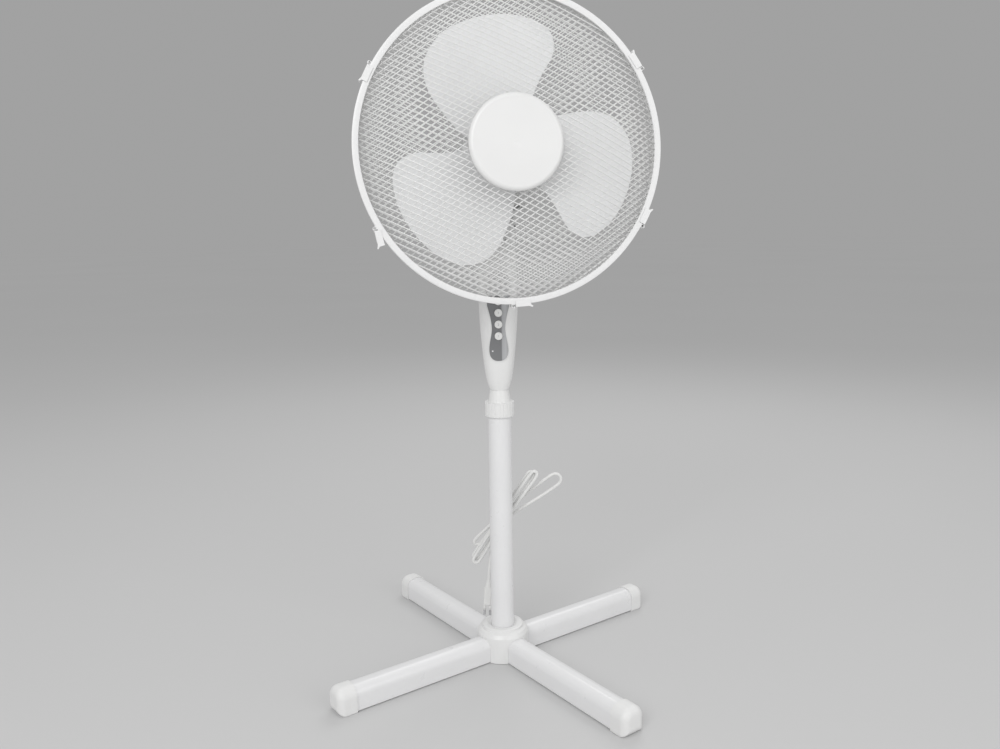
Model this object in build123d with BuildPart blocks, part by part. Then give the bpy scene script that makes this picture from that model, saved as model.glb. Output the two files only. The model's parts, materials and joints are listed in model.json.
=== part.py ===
"""Pedestal fan with a cross base, a telescopic pole and an oscillating head.

Millimetres, +Z up. The origin is on the floor under the pole, and the control column faces -Y.
The head is modelled where it stands at rest: tilted up a little and swung to the fan's left.
"""

import os
from math import acos, asin, atan2, cos, degrees, dist, hypot, radians, sin, sqrt, tan

from build123d import *

os.makedirs("parts", exist_ok=True)

# Clearances
FIT = 0.15              # fixed pieces that fit into one another
RUN = 0.3               # pieces that move past one another
BEARING = 0.06          # shaft in its bearing, pin in its hinge

# Cross base
LEG_REACH = 305.0       # pole axis to the end of a foot cap
LEG_WIDTH = 35.0
LEG_HEIGHT = 36.0
LEG_WALL = 1.8
LEG_SHOULDER = 14.0     # rounding of the upper edges
LEG_ANGLE = 36.1        # direction of the lower leg, from +X
CAP_WALL = 2.0          # also lifts the legs off the floor
CAP_LENGTH = 29.0
CAP_END = 6.0
CAP_ROUND = 11.0
COVER_RADIUS = 42.0
COVER_WALL = 2.2
COVER_LIFT = 0.8
COVER_RISE = 8.0        # shoulder over the pole's foot
COLLAR_RADIUS = 33.0
COLLAR_HEIGHT = 4.0
FLANGE_RADIUS = 26.0
FLANGE_THICKNESS = 4.0
SPIGOT_LENGTH = 30.0
SPIGOT_WALL = 3.0
BASE_BOLT_RADIUS = 4.0
BASE_BOLT_HEAD = 1.6
BASE_NUT_RADIUS = 7.5
BASE_NUT_HEIGHT = 6.5

# Pole
TUBE_RADIUS = 18.5
TUBE_WALL = 1.5
TUBE_LENGTH = 364.0
RISER_RADIUS = 12.5     # inner tube
RISER_WALL = 1.2
RISER_LENGTH = 399.0
BEAD_RADIUS = 14.5      # two beads that hold the guide bush
BEAD_HEIGHT = 5.0
BUSH_HEIGHT = 20.0
COLLET_DEPTH = 30.0
COLLET_FLANGE = 3.0
COLLET_NECK_RADIUS = 17.0
COLLET_NECK_HEIGHT = 15.0
NUT_RADIUS = 22.8
NUT_HEIGHT = 22.4
NUT_SKIRT = 6.0         # how far the lock nut hangs over the tube
NUT_CONE_HEIGHT = 19.8
NUT_CONE_BASE = 17.75
NUT_CONE_TOP = 14.6
NUT_GRIPS = 20
CONE_FACETS = 24

# Control column
COLUMN_GAP = 0.2        # column foot over the lock nut
COLUMN_DEPTH = 46.0
COLUMN_WALL = 2.4
FOOT_WIDTH = 29.5
FOOT_SOLID = 36.0       # solid foot that holds the inner tube
SHOULDER_WIDTH = 60.0
SHOULDER_HEIGHT = 138.0
HEAD_WIDTH = 57.0
HEAD_HEIGHT = 191.0
FORK_WIDTH = 49.0
FORK_RADIUS = 18.0
FORK_GAP = 26.0
PIVOT_HEIGHT = 247.4    # tilt axis over the column foot
PANEL_BOTTOM = 47.4
PANEL_TOP = 147.0
PANEL_THICKNESS = 1.6
PANEL_RECESS = 1.0
PANEL_BELLY = 28.7
PANEL_WAIST = 20.2
PANEL_FLARE = 33.3
HOLE_TOP = 184.0
HOLE_WIDTH = 38.0
HOLE_LEAN = 0.5         # how far each side leans in at the foot
HOLE_CORNER = 4.0
HOLE_LIP = 2.0          # bar between the panel and the carry hole
BUTTON_RADIUS = 6.0
BUTTON_PROUD = 2.5
BUTTON_TRAVEL = 3.0
BUTTON_FLANGE = 1.0
BUTTON_PITCH = 17.7
BUTTON_FIRST = 85.8
BUTTON_NAMES = ("button_low", "button_medium", "button_high", "button_off")
SWITCH_WIDTH = 20.0
SWITCH_DEPTH = 16.0
SWITCH_SETBACK = 8.8    # behind the column's face
SWITCH_MARGIN = 6.6     # beyond the outermost buttons
SWITCH_STOP = 10.0      # rib behind each end of the switch block
SCREW_RADIUS = 1.5
SCREW_HEAD_RADIUS = 3.0
SCREW_HEAD_HEIGHT = 2.2
SCREW_START = 8.0       # ahead of the shells' joint
SCREW_SEAT = 14.0       # head behind the shells' joint
SCREW_SPREAD_LOW = 16.5
SCREW_LOW = 60.0
SCREW_SPREAD_HIGH = 13.0
SCREW_RISE = 21.0       # upper pair over the carry hole
TUBE_SCREW_LENGTH = 5.0
BOSS_RADIUS = 4.0

# Tilt joint, neck and swing spindle
TILT = 3.93             # upwards, at rest
SWING = 9.4             # towards +X, at rest
SWING_LIMIT = 40.0      # to each side of straight ahead
TILT_BOLT_RADIUS = 4.0
TILT_BOLT_HEAD_RADIUS = 7.5
TILT_BOLT_HEAD = 4.0
NECK_WIDTH = 26.0
NECK_FLANGE_Z = 22.0
NECK_FLANGE_RADIUS = 26.0
NECK_FLANGE = 5.0
SPINDLE_RADIUS = 8.0
SPINDLE_SHOULDER_RADIUS = 10.5
SPINDLE_SHOULDER = 4.0
SPINDLE_LENGTH = 19.0
LINK_ARM = 22.0         # spindle axis to the link's pin on the neck
LINK_PIN_RADIUS = 2.5
LINK_WIDTH = 9.0
LINK_THICKNESS = 3.0
LINK_LIFT = 0.5

# Head and motor, along the fan's axis from the spindle
FAN_HEIGHT = 102.0      # fan axis over the tilt axis
BRACKET_RADIUS = 14.0
PLATE_THICKNESS = 6.0
PLATE_WIDTH = 52.0
MOTOR_FOOT_WIDTH = 36.4
SHAFT_RADIUS = 4.0
SHAFT_BACK = -51.0
STATOR_BACK = -8.0
STATOR_LENGTH = 30.0
STATOR_RADIUS = 40.0
ROTOR_RADIUS = 22.8
AIR_GAP = 0.5
CUP_RADIUS = 46.0
CUP_RIM = 10.0          # radial width of the cup's rim
CUP_DEPTH = 9.0
CUP_WALL = 4.0
BEARING_BOSS_RADIUS = 11.0
FRONT_BOSS = 15.0       # bearing boss beyond the front bracket's disc
REAR_BOSS = 6.0
BEARING_RADIUS = 8.0
BEARING_LENGTH = 12.0
BOSS_FLOOR = 4.0        # boss behind the bearing
MOTOR_BOLT_CIRCLE = 43.0
MOTOR_BOLT_RADIUS = 1.8
COVER_FRONT_RADIUS = 53.0
COVER_FRONT_PLATE = 6.0
NOSE_RADIUS = 17.0
NOSE_LENGTH = 15.0
HOUSING_RADIUS = 52.5
HOUSING_WALL = 2.5
HOUSING_STRAIGHT = -10.0
HOUSING_DOME = 72.0
HOUSING_FLAT = 14.0     # flat end of the dome
CHIN_HALF_WIDTH = 41.0
CHIN_FRONT = 38.5
CHIN_BACK = 64.5
CHIN_ROUND = 18.0
VENT_COUNT = 10
VENT_CIRCLE = 27.0
VENT_LENGTH = 16.0
VENT_WIDTH = 3.0
WORM_RADIUS = 5.2
WORM_LENGTH = 16.0
WHEEL_RADIUS = 11.4
WHEEL_THICKNESS = 7.0
WHEEL_BACK = -42.0
CRANK_SPINDLE_RADIUS = 3.0
CRANK_MARGIN = 3.4      # disc beyond the crank pin
CRANK_DISC = 4.0
GEARBOX_WALL = 2.5
GEARBOX_ROOM = 5.3      # beside the worm
GEARBOX_HALF_HEIGHT = 14.0
KNOB_RADIUS = 8.0
KNOB_HEIGHT = 13.0
KNOB_BOTTOM = 50.5
KNOB_STEM_RADIUS = 2.5

# Guards and blade, along the fan's axis from the spindle
RING_PLANE = 117.0
RING_RADIUS = 215.0
RING_WIDTH = 14.0
RING_BAND = 8.8         # radial depth of the ring's channel
RING_WALL = 1.5
RIM_WIRE = 2.0          # radius of a guard's rim wire
RIM_SPACING = 6.4       # front rim to rear rim
GUARD_WIRE = 0.75       # radius of a mesh wire
WIRE_SIDES = 6
WIRE_TRIM = 0.985       # outermost wire, as a part of the reach
GUARD_PITCH = 7.5
WIRE_GAP = 0.15
FRONT_DEPTH = 44.0
REAR_DEPTH = 54.6
WIRE_ANGLES = (35.7, -24.9)
SEAT_RADIUS = 46.0      # flat of the rear guard's plate
SEAT_RIM = 60.0
SEAT_THICKNESS = 1.5
GUARD_NUT_RADIUS = 30.0
GUARD_NUT_HEIGHT = 10.0
BADGE_RADIUS = 64.0
BADGE_FRONT = 56.5      # ahead of the ring plane
BADGE_EDGE = 5.0
CLIP_COUNT = 6
CLIP_FIRST = 30.3       # angle of the first clip's hinge
CLIP_SPAN = 6.6
CLIP_THICKNESS = 3.0
CLIP_OPEN = 21.0        # the one clip that hangs open
CLIP_OPEN_INDEX = 3
CLIP_PIN_RADIUS = 1.5
CLIP_LIP = 6.0
BLADE_PLANE = 113.0
BLADE_COUNT = 3
BLADE_TURN = 110.0      # direction of the first petal
BLADE_RISE = 28.0       # axial rise per radian
BLADE_THICKNESS = 2.0
HUB_RADIUS = 40.0
HUB_BACK = 88.0
HUB_FRONT = 142.0
SPINNER_RADIUS = 16.0
SPINNER_LENGTH = 14.0

# Petal outline: radius and angle from the petal's middle, from one root corner round to the other
PETAL = ((34, -48), (66, -44), (105, -44), (136, -45), (158, -41), (172, -29), (178, -5),
         (175, 14), (160, 26), (135, 34), (105, 40), (70, 49), (34, 56))

# Mains cord
CORD_RADIUS = 2.6
GLAND_LENGTH = 28.0
GLAND_ROOT = 10.0
GLAND_RADIUS = 5.0
GLAND_TIP_RADIUS = 3.4
HANK_WAIST = (0.0, 217.0)
HANK_SIDE = 3.4         # strand to the hank's middle at the tie
HANK_FIRST_Y = 27.6
HANK_STEP = 6.6
TIE_WIDTH = 6.0
TIE_THICKNESS = 1.2
TIE_ROOM = 3.6          # strands' slack across the tie
TIE_FACE = 0.5          # tie to the strands it lies on
PLUG_RELIEF = 12.0
PLUG_BODY = 28.0
PLUG_WIDTH = 13.5
PLUG_DEPTH = 9.0
PIN_RADIUS = 2.0
PIN_LENGTH = 17.0
PIN_SPACING = 9.0

# Levels up the pole
LEG_LIFT = CAP_WALL
LEG_MIDDLE = LEG_LIFT + LEG_HEIGHT / 2
LEG_TOP = LEG_LIFT + LEG_HEIGHT
TUBE_BOTTOM = LEG_TOP + FLANGE_THICKNESS
TUBE_TOP = TUBE_BOTTOM + TUBE_LENGTH
TUBE_BORE = TUBE_RADIUS - TUBE_WALL
NUT_BOTTOM = TUBE_TOP - NUT_SKIRT
NUT_TOP = NUT_BOTTOM + NUT_HEIGHT
COLUMN_Z = NUT_TOP + NUT_CONE_HEIGHT + COLUMN_GAP
RISER_TOP = COLUMN_Z + FOOT_SOLID - 4.0
RISER_BOTTOM = RISER_TOP - RISER_LENGTH
PIVOT_Z = COLUMN_Z + PIVOT_HEIGHT
COLUMN_FACE = COLUMN_DEPTH / 2


def save(piece, name):
    """Label a finished piece and write it to its own file."""
    piece.label = name
    export_step(piece, f"parts/{name}.step")


def turned(angle, distance=0.0):
    """A point on the floor plan, at an angle from +X."""
    return Vector(distance * cos(radians(angle)), distance * sin(radians(angle)), 0)


def spun(plane, angle):
    """A plane turned about its own normal."""
    across = plane.x_dir.rotate(Axis((0, 0, 0), plane.z_dir), angle)
    return Plane(origin=plane.origin, x_dir=across, z_dir=plane.z_dir)


# Frames of the neck and of the head
NECK = Plane(
    origin=(0, 0, PIVOT_Z),
    x_dir=(1, 0, 0),
    z_dir=(0, sin(radians(TILT)), cos(radians(TILT))),
)
HEAD = spun(NECK, SWING)
FAN = Plane(origin=HEAD.from_local_coords((0, 0, FAN_HEIGHT)), x_dir=HEAD.x_dir, z_dir=-HEAD.y_dir)
FAN_AXIS = Axis(FAN.origin, FAN.z_dir)
# Half-section of a turned piece: across is the radius, up is the way along the fan's axis
SECTION = Plane(origin=FAN.origin, x_dir=FAN.x_dir, z_dir=-FAN.y_dir)
# Side view of the neck: across is backwards, up is up the spindle
NECK_SIDE = Plane(origin=NECK.origin, x_dir=NECK.y_dir, z_dir=NECK.x_dir)


def turned_piece(outline):
    """Turn a half-section, given as radius and axial place, about the fan's axis."""
    with BuildPart() as piece:
        with BuildSketch(SECTION):
            with BuildLine():
                Polyline(*outline, close=True)
            make_face()
        revolve(axis=FAN_AXIS)
    return piece.part


def ring(inner, outer, bottom, top):
    """A plain ring about the pole's axis."""
    with BuildPart() as piece:
        with BuildSketch(Plane.XY.offset(bottom)):
            Circle(outer)
            Circle(inner, mode=Mode.SUBTRACT)
        extrude(amount=top - bottom)
    return piece.part


# Cross base: two box legs halved into one another
def leg_frame(angle, distance=0.0):
    """Section plane across a leg, at a distance from the pole."""
    along = turned(angle, 1)
    middle = along * distance + Vector(0, 0, LEG_LIFT)
    return Plane(origin=middle, x_dir=turned(angle + 90, 1), z_dir=along)


def leg_outline(grow=0.0):
    """A leg's outside, or the same grown all round."""
    with BuildSketch(mode=Mode.PRIVATE) as outline:
        Rectangle(LEG_WIDTH, LEG_HEIGHT, align=(Align.CENTER, Align.MIN))
        upper = outline.vertices().group_by(Axis.Y)[-1]
        fillet(upper, LEG_SHOULDER)
        if grow:
            offset(amount=grow, mode=Mode.REPLACE)
    return outline.sketch


def leg(angle, lap_bottom, lap_top):
    """A hollow leg with its lap cut out at the middle and a hole for the base bolt."""
    with BuildPart() as piece:
        with BuildSketch(leg_frame(angle)):
            add(leg_outline())
            add(leg_outline(-LEG_WALL), mode=Mode.SUBTRACT)
        extrude(amount=LEG_REACH - CAP_END, both=True)
        with BuildSketch(Plane.XY.offset(lap_bottom)):
            Rectangle(LEG_WIDTH + 2 * FIT, 2 * LEG_WIDTH, rotation=angle)
        extrude(amount=lap_top - lap_bottom, mode=Mode.SUBTRACT)
        with BuildSketch(Plane.XY):
            Circle(BASE_BOLT_RADIUS + FIT)
        extrude(amount=LEG_TOP, mode=Mode.SUBTRACT)
    return piece.part


save(leg(LEG_ANGLE, LEG_MIDDLE, LEG_TOP), "leg_lower")
save(leg(LEG_ANGLE - 90, LEG_LIFT, LEG_MIDDLE), "leg_upper")

CAPS = {"back_right": 0, "back_left": 90, "front_left": 180, "front_right": 270}
for corner, turn in CAPS.items():
    cap_angle = LEG_ANGLE + turn
    cap_start = LEG_REACH - CAP_LENGTH
    with BuildPart() as foot_cap:
        with BuildSketch(leg_frame(cap_angle, cap_start)):
            add(leg_outline(CAP_WALL))
        extrude(amount=CAP_LENGTH)
        tip = foot_cap.faces().sort_by(Axis((0, 0, 0), turned(cap_angle, 1)))[-1]
        fillet(tip.edges(), CAP_ROUND)
        with BuildSketch(leg_frame(cap_angle, cap_start)):
            add(leg_outline(FIT))
        extrude(amount=CAP_LENGTH - CAP_END, mode=Mode.SUBTRACT)
    save(foot_cap.part, f"foot_cap_{corner}")

# Round cover over the crossing, with a slot for each leg
COVER_TOP = TUBE_BOTTOM + COVER_RISE
with BuildPart() as base_cover:
    with BuildSketch(Plane.XZ):
        with BuildLine():
            Polyline(
                (COVER_RADIUS, COVER_LIFT),
                (COVER_RADIUS - 1.0, LEG_TOP + 3.0),
                (COVER_RADIUS - 4.0, COVER_TOP - 3.0),
                (COLLAR_RADIUS + 0.5, COVER_TOP - 0.5),
                (COLLAR_RADIUS, COVER_TOP + COLLAR_HEIGHT - 1.0),
                (COLLAR_RADIUS - 2.0, COVER_TOP + COLLAR_HEIGHT),
                (TUBE_RADIUS + 6.0, COVER_TOP + COLLAR_HEIGHT),
                (TUBE_RADIUS + FIT, COVER_TOP + 1.0),
                (TUBE_RADIUS + FIT, COVER_TOP - 2.5),
                (COVER_RADIUS - 8.0, COVER_TOP - 2.5),
                (COVER_RADIUS - COVER_WALL - 2.5, LEG_TOP + 2.0),
                (COVER_RADIUS - COVER_WALL, COVER_LIFT),
                close=True,
            )
        make_face()
    revolve(axis=Axis.Z)
    for turn in (0, 90):
        with BuildSketch(leg_frame(LEG_ANGLE + turn)):
            add(leg_outline(FIT))
            Rectangle(LEG_WIDTH, LEG_HEIGHT)
        extrude(amount=2 * COVER_RADIUS, both=True, mode=Mode.SUBTRACT)
save(base_cover.part, "base_cover")

with BuildPart() as pole_flange:
    with BuildSketch(Plane.XY.offset(LEG_TOP)):
        Circle(FLANGE_RADIUS)
        Circle(BASE_BOLT_RADIUS + FIT, mode=Mode.SUBTRACT)
    extrude(amount=FLANGE_THICKNESS)
    with BuildSketch(Plane.XY.offset(TUBE_BOTTOM)):
        Circle(TUBE_BORE - FIT)
        Circle(TUBE_BORE - FIT - SPIGOT_WALL, mode=Mode.SUBTRACT)
    extrude(amount=SPIGOT_LENGTH)
save(pole_flange.part, "pole_flange")

BASE_BOLT_TOP = TUBE_BOTTOM + BASE_NUT_HEIGHT + 2.0
with BuildPart() as base_fasteners:
    with BuildSketch(Plane.XY.offset(LEG_LIFT - BASE_BOLT_HEAD)):
        Circle(2.2 * BASE_BOLT_RADIUS)
    extrude(amount=BASE_BOLT_HEAD)
    with BuildSketch(Plane.XY.offset(LEG_LIFT)):
        Circle(BASE_BOLT_RADIUS)
    extrude(amount=BASE_BOLT_TOP - LEG_LIFT)
    with BuildSketch(Plane.XY.offset(TUBE_BOTTOM)):
        RegularPolygon(BASE_NUT_RADIUS, 6)
        Circle(BASE_BOLT_RADIUS + FIT, mode=Mode.SUBTRACT)
    extrude(amount=BASE_NUT_HEIGHT)
save(base_fasteners.part, "base_fasteners")

# Pole: fixed outer tube, collet, lock nut, and the inner tube that rises and turns
save(ring(TUBE_BORE, TUBE_RADIUS, TUBE_BOTTOM, TUBE_TOP), "outer_tube")

NECK_TOP = TUBE_TOP + COLLET_FLANGE + COLLET_NECK_HEIGHT
with BuildPart() as tube_collet:
    add(ring(RISER_RADIUS + RUN, TUBE_BORE - FIT, TUBE_TOP - COLLET_DEPTH, TUBE_TOP))
    add(ring(RISER_RADIUS + RUN, TUBE_RADIUS, TUBE_TOP, TUBE_TOP + COLLET_FLANGE))
    add(ring(RISER_RADIUS + RUN, COLLET_NECK_RADIUS, TUBE_TOP + COLLET_FLANGE, NECK_TOP))
    with BuildSketch(Plane.XY.offset(TUBE_TOP + COLLET_FLANGE + 2.0)):
        for slot_turn in (0, 90):
            Rectangle(3 * TUBE_RADIUS, 1.6, rotation=slot_turn)
    extrude(amount=COLLET_NECK_HEIGHT, mode=Mode.SUBTRACT)
save(tube_collet.part, "tube_collet")

with BuildPart() as lock_nut:
    with BuildSketch(Plane.XY.offset(NUT_BOTTOM)):
        Circle(NUT_RADIUS)
        with PolarLocations(NUT_RADIUS + 0.5, NUT_GRIPS):
            Circle(1.2, mode=Mode.SUBTRACT)
    extrude(amount=NUT_HEIGHT)
    with BuildSketch(Plane.XY.offset(NUT_TOP)):
        RegularPolygon(NUT_CONE_BASE, CONE_FACETS)
    with BuildSketch(Plane.XY.offset(NUT_TOP + NUT_CONE_HEIGHT)):
        RegularPolygon(NUT_CONE_TOP, CONE_FACETS)
    loft(ruled=True)
    with BuildSketch(Plane.XY.offset(NUT_BOTTOM)):
        Circle(TUBE_RADIUS + RUN)
    extrude(amount=NUT_SKIRT + COLLET_FLANGE + RUN, mode=Mode.SUBTRACT)
    with BuildSketch(Plane.XY.offset(NUT_BOTTOM)):
        Circle(COLLET_NECK_RADIUS + RUN)
    extrude(amount=NECK_TOP + RUN - NUT_BOTTOM, mode=Mode.SUBTRACT)
    with BuildSketch(Plane.XY.offset(NUT_BOTTOM)):
        Circle(RISER_RADIUS + RUN)
    extrude(amount=NUT_HEIGHT + NUT_CONE_HEIGHT, mode=Mode.SUBTRACT)
save(lock_nut.part, "lock_nut")

BUSH_BOTTOM = RISER_BOTTOM + BEAD_HEIGHT + RUN
BUSH_TOP = BUSH_BOTTOM + BUSH_HEIGHT
TUBE_SCREW_Z = COLUMN_Z + FOOT_SOLID / 2
save(ring(RISER_RADIUS + BEARING, TUBE_BORE - RUN, BUSH_BOTTOM, BUSH_TOP), "guide_bush")

with BuildPart() as inner_tube:
    add(ring(RISER_RADIUS - RISER_WALL, RISER_RADIUS, RISER_BOTTOM, RISER_TOP))
    for bead in (RISER_BOTTOM, BUSH_TOP + RUN):
        add(ring(RISER_RADIUS - RISER_WALL, BEAD_RADIUS, bead, bead + BEAD_HEIGHT))
    with BuildSketch(Plane.XZ):
        with Locations((0, TUBE_SCREW_Z)):
            Circle(SCREW_RADIUS + FIT)
    extrude(amount=-2 * RISER_RADIUS, mode=Mode.SUBTRACT)
save(inner_tube.part, "inner_tube")

# Control column: two shells about a cavity, with a carry hole through them and a fork on top
FRONT = Plane(origin=(0, -COLUMN_FACE, COLUMN_Z), x_dir=(1, 0, 0), z_dir=(0, -1, 0))
COLUMN_LEVELS = (
    (0.0, FOOT_WIDTH, FOOT_WIDTH),
    (20.0, 41.0, 38.0),
    (66.0, 52.0, COLUMN_DEPTH),
    (SHOULDER_HEIGHT, SHOULDER_WIDTH, COLUMN_DEPTH),
    (HEAD_HEIGHT, HEAD_WIDTH, COLUMN_DEPTH),
    (PIVOT_HEIGHT - FORK_RADIUS, FORK_WIDTH + 4.0, COLUMN_DEPTH - 3.0),
    (PIVOT_HEIGHT, FORK_WIDTH, 2 * FORK_RADIUS),
)
CAVITY_TOP = PIVOT_HEIGHT - FORK_RADIUS - 6.5
CAVITY_LEVELS = (
    (FOOT_SOLID, 39.0, 36.0),
    (66.0, 52.0 - 2 * COLUMN_WALL, COLUMN_DEPTH - 2 * COLUMN_WALL),
    (SHOULDER_HEIGHT, SHOULDER_WIDTH - 2 * COLUMN_WALL, COLUMN_DEPTH - 2 * COLUMN_WALL),
    (HEAD_HEIGHT, HEAD_WIDTH - 2 * COLUMN_WALL, COLUMN_DEPTH - 2 * COLUMN_WALL),
    (CAVITY_TOP, FORK_WIDTH, COLUMN_DEPTH - 8.0),
)
HOLE_BOTTOM = PANEL_TOP + HOLE_LIP
SCREW_PLACES = [
    (side * spread, height)
    for spread, height in ((SCREW_SPREAD_LOW, SCREW_LOW), (SCREW_SPREAD_HIGH, HOLE_TOP + SCREW_RISE))
    for side in (-1, 1)
]
SWITCH_FRONT = -COLUMN_FACE + SWITCH_SETBACK
SWITCH_BOTTOM = BUTTON_FIRST - SWITCH_MARGIN
SWITCH_TOP = BUTTON_FIRST + BUTTON_PITCH * (len(BUTTON_NAMES) - 1) + SWITCH_MARGIN
BUTTON_HEIGHTS = [BUTTON_FIRST + BUTTON_PITCH * i for i in range(len(BUTTON_NAMES))]


def column_loft(levels):
    """Rounded sections joined up the column, each given as height, width and depth."""
    with BuildPart() as piece:
        for height, width, depth in levels:
            with BuildSketch(Plane.XY.offset(COLUMN_Z + height)):
                RectangleRounded(width, depth, 0.42 * min(width, depth))
        loft()
    return piece.part


def hole_outline(grow=0.0):
    """The carry hole in front view: a flat foot, sides that lean in and a round head."""
    half = HOLE_WIDTH / 2
    foot = half - HOLE_LEAN
    round_start = HOLE_TOP - half
    with BuildSketch(mode=Mode.PRIVATE) as outline:
        with BuildLine():
            Polyline((half, round_start), (foot, HOLE_BOTTOM), (-foot, HOLE_BOTTOM), (-half, round_start))
            RadiusArc((-half, round_start), (half, round_start), half)
        make_face()
        fillet(outline.vertices().group_by(Axis.Y)[0], HOLE_CORNER)
        if grow:
            offset(amount=grow, mode=Mode.REPLACE)
    return outline.sketch


def panel_outline(grow=0.0):
    """The control panel in front view: a round belly, a waist and a flare."""
    corner = HOLE_WIDTH / 2 - HOLE_LEAN + grow
    with BuildSketch(mode=Mode.PRIVATE) as outline:
        with BuildLine():
            side = Spline(
                (0, PANEL_BOTTOM - grow),
                (PANEL_BELLY / 2 + grow, PANEL_BOTTOM + 20.0),
                (PANEL_WAIST / 2 + grow, PANEL_BOTTOM + 52.0),
                (PANEL_FLARE / 2 + grow, PANEL_BOTTOM + 84.6),
                (corner, PANEL_TOP + grow),
                tangents=((1, 0), (0.15, 1)),
            )
            mirror(side, about=Plane.YZ)
            Line((corner, PANEL_TOP + grow), (-corner, PANEL_TOP + grow))
        make_face()
    return outline.sketch


GLAND_DOWN = 53.0       # slope of the gland below level
GLAND = Plane(
    origin=(0, COLUMN_FACE - 2.5, COLUMN_Z + FOOT_SOLID + 12.0),
    x_dir=(1, 0, 0),
    z_dir=(0, cos(radians(GLAND_DOWN)), -sin(radians(GLAND_DOWN))),
)

with BuildPart() as column_cavity:
    add(column_loft(CAVITY_LEVELS))
    with BuildSketch(FRONT):
        add(hole_outline(COLUMN_WALL))
        with Locations(*SCREW_PLACES):
            Circle(BOSS_RADIUS)
    extrude(amount=-COLUMN_DEPTH, mode=Mode.SUBTRACT)
    with BuildSketch(Plane.XZ.offset(-(SWITCH_FRONT + SWITCH_DEPTH + FIT))):
        with Locations(
            (0, COLUMN_Z + SWITCH_BOTTOM + SWITCH_STOP),
            (0, COLUMN_Z + SWITCH_TOP - SWITCH_STOP),
        ):
            Rectangle(6.0, 3.0)
    extrude(amount=-COLUMN_DEPTH, mode=Mode.SUBTRACT)

with BuildPart() as column:
    add(column_loft(COLUMN_LEVELS))
    with BuildSketch(Plane.YZ):
        with Locations((0, PIVOT_Z)):
            Circle(FORK_RADIUS)
    extrude(amount=FORK_WIDTH / 2, both=True)
    add(column_cavity.part, mode=Mode.SUBTRACT)
    with BuildSketch(FRONT.offset(COLUMN_DEPTH)):
        add(hole_outline())
    extrude(amount=-3 * COLUMN_DEPTH, mode=Mode.SUBTRACT)
    with BuildSketch(FRONT.offset(-PANEL_RECESS)):
        add(panel_outline(FIT))
    extrude(amount=COLUMN_DEPTH, mode=Mode.SUBTRACT)
    with BuildSketch(FRONT):
        with Locations(*[(0, height) for height in BUTTON_HEIGHTS]):
            Circle(BUTTON_RADIUS + RUN)
    extrude(amount=-COLUMN_FACE / 3, mode=Mode.SUBTRACT)
    with BuildSketch(Plane.XY.offset(COLUMN_Z - 1.0)):
        Circle(RISER_RADIUS + FIT)
    extrude(amount=RISER_TOP + 1.0 - (COLUMN_Z - 1.0), mode=Mode.SUBTRACT)
    with BuildSketch(Plane.XY.offset(PIVOT_Z - FORK_RADIUS - 0.6)):
        Rectangle(FORK_GAP, 2 * COLUMN_DEPTH)
    extrude(amount=3 * FORK_RADIUS, mode=Mode.SUBTRACT)
    with BuildSketch(Plane.YZ):
        with Locations((0, PIVOT_Z)):
            Circle(TILT_BOLT_RADIUS + FIT)
    extrude(amount=FORK_WIDTH, both=True, mode=Mode.SUBTRACT)
    for side in (-1, 1):
        with BuildSketch(Plane.YZ.offset(side * FORK_WIDTH / 2)):
            with Locations((0, PIVOT_Z)):
                Circle(TILT_BOLT_HEAD_RADIUS + 1.0)
        extrude(amount=side * FORK_RADIUS, mode=Mode.SUBTRACT)
    # Screw holes from the back, with room for the heads
    with BuildSketch(FRONT.offset(-COLUMN_FACE + SCREW_START + FIT)):
        with Locations(*SCREW_PLACES):
            Circle(SCREW_RADIUS + FIT)
    extrude(amount=-COLUMN_DEPTH, mode=Mode.SUBTRACT)
    with BuildSketch(FRONT.offset(-COLUMN_FACE - SCREW_SEAT)):
        with Locations(*SCREW_PLACES):
            Circle(SCREW_HEAD_RADIUS + FIT)
        with Locations((0, TUBE_SCREW_Z - COLUMN_Z)):
            Circle(SCREW_HEAD_RADIUS + FIT)
    extrude(amount=-COLUMN_DEPTH, mode=Mode.SUBTRACT)
    with BuildSketch(FRONT.offset(-COLUMN_FACE)):
        with Locations((0, TUBE_SCREW_Z - COLUMN_Z)):
            Circle(SCREW_RADIUS + FIT)
    extrude(amount=-COLUMN_DEPTH, mode=Mode.SUBTRACT)
    with BuildSketch(GLAND.offset(-GLAND_ROOT - FIT)):
        Circle(GLAND_RADIUS + FIT)
    extrude(amount=COLUMN_DEPTH, mode=Mode.SUBTRACT)

for away, name in ((-1, "column_front"), (1, "column_rear")):
    with BuildPart() as shell:
        add(column.part)
        with BuildSketch(Plane.XZ):
            with Locations((0, COLUMN_Z)):
                Rectangle(4 * SHOULDER_WIDTH, 4 * PIVOT_HEIGHT)
        extrude(amount=away * 2 * COLUMN_DEPTH, mode=Mode.SUBTRACT)
    save(shell.part, name)

with BuildPart() as column_screws:
    with BuildSketch(FRONT.offset(-COLUMN_FACE + SCREW_START)):
        with Locations(*SCREW_PLACES):
            Circle(SCREW_RADIUS)
    extrude(amount=-SCREW_START - SCREW_SEAT)
    with BuildSketch(FRONT.offset(-COLUMN_FACE - SCREW_SEAT)):
        with Locations(*SCREW_PLACES):
            Circle(SCREW_HEAD_RADIUS)
        with Locations((0, TUBE_SCREW_Z - COLUMN_Z)):
            Circle(SCREW_HEAD_RADIUS)
    extrude(amount=-SCREW_HEAD_HEIGHT)
    with BuildSketch(FRONT.offset(-COLUMN_FACE - SCREW_SEAT + TUBE_SCREW_LENGTH)):
        with Locations((0, TUBE_SCREW_Z - COLUMN_Z)):
            Circle(SCREW_RADIUS)
    extrude(amount=-TUBE_SCREW_LENGTH)
save(column_screws.part, "column_screws")

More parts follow.
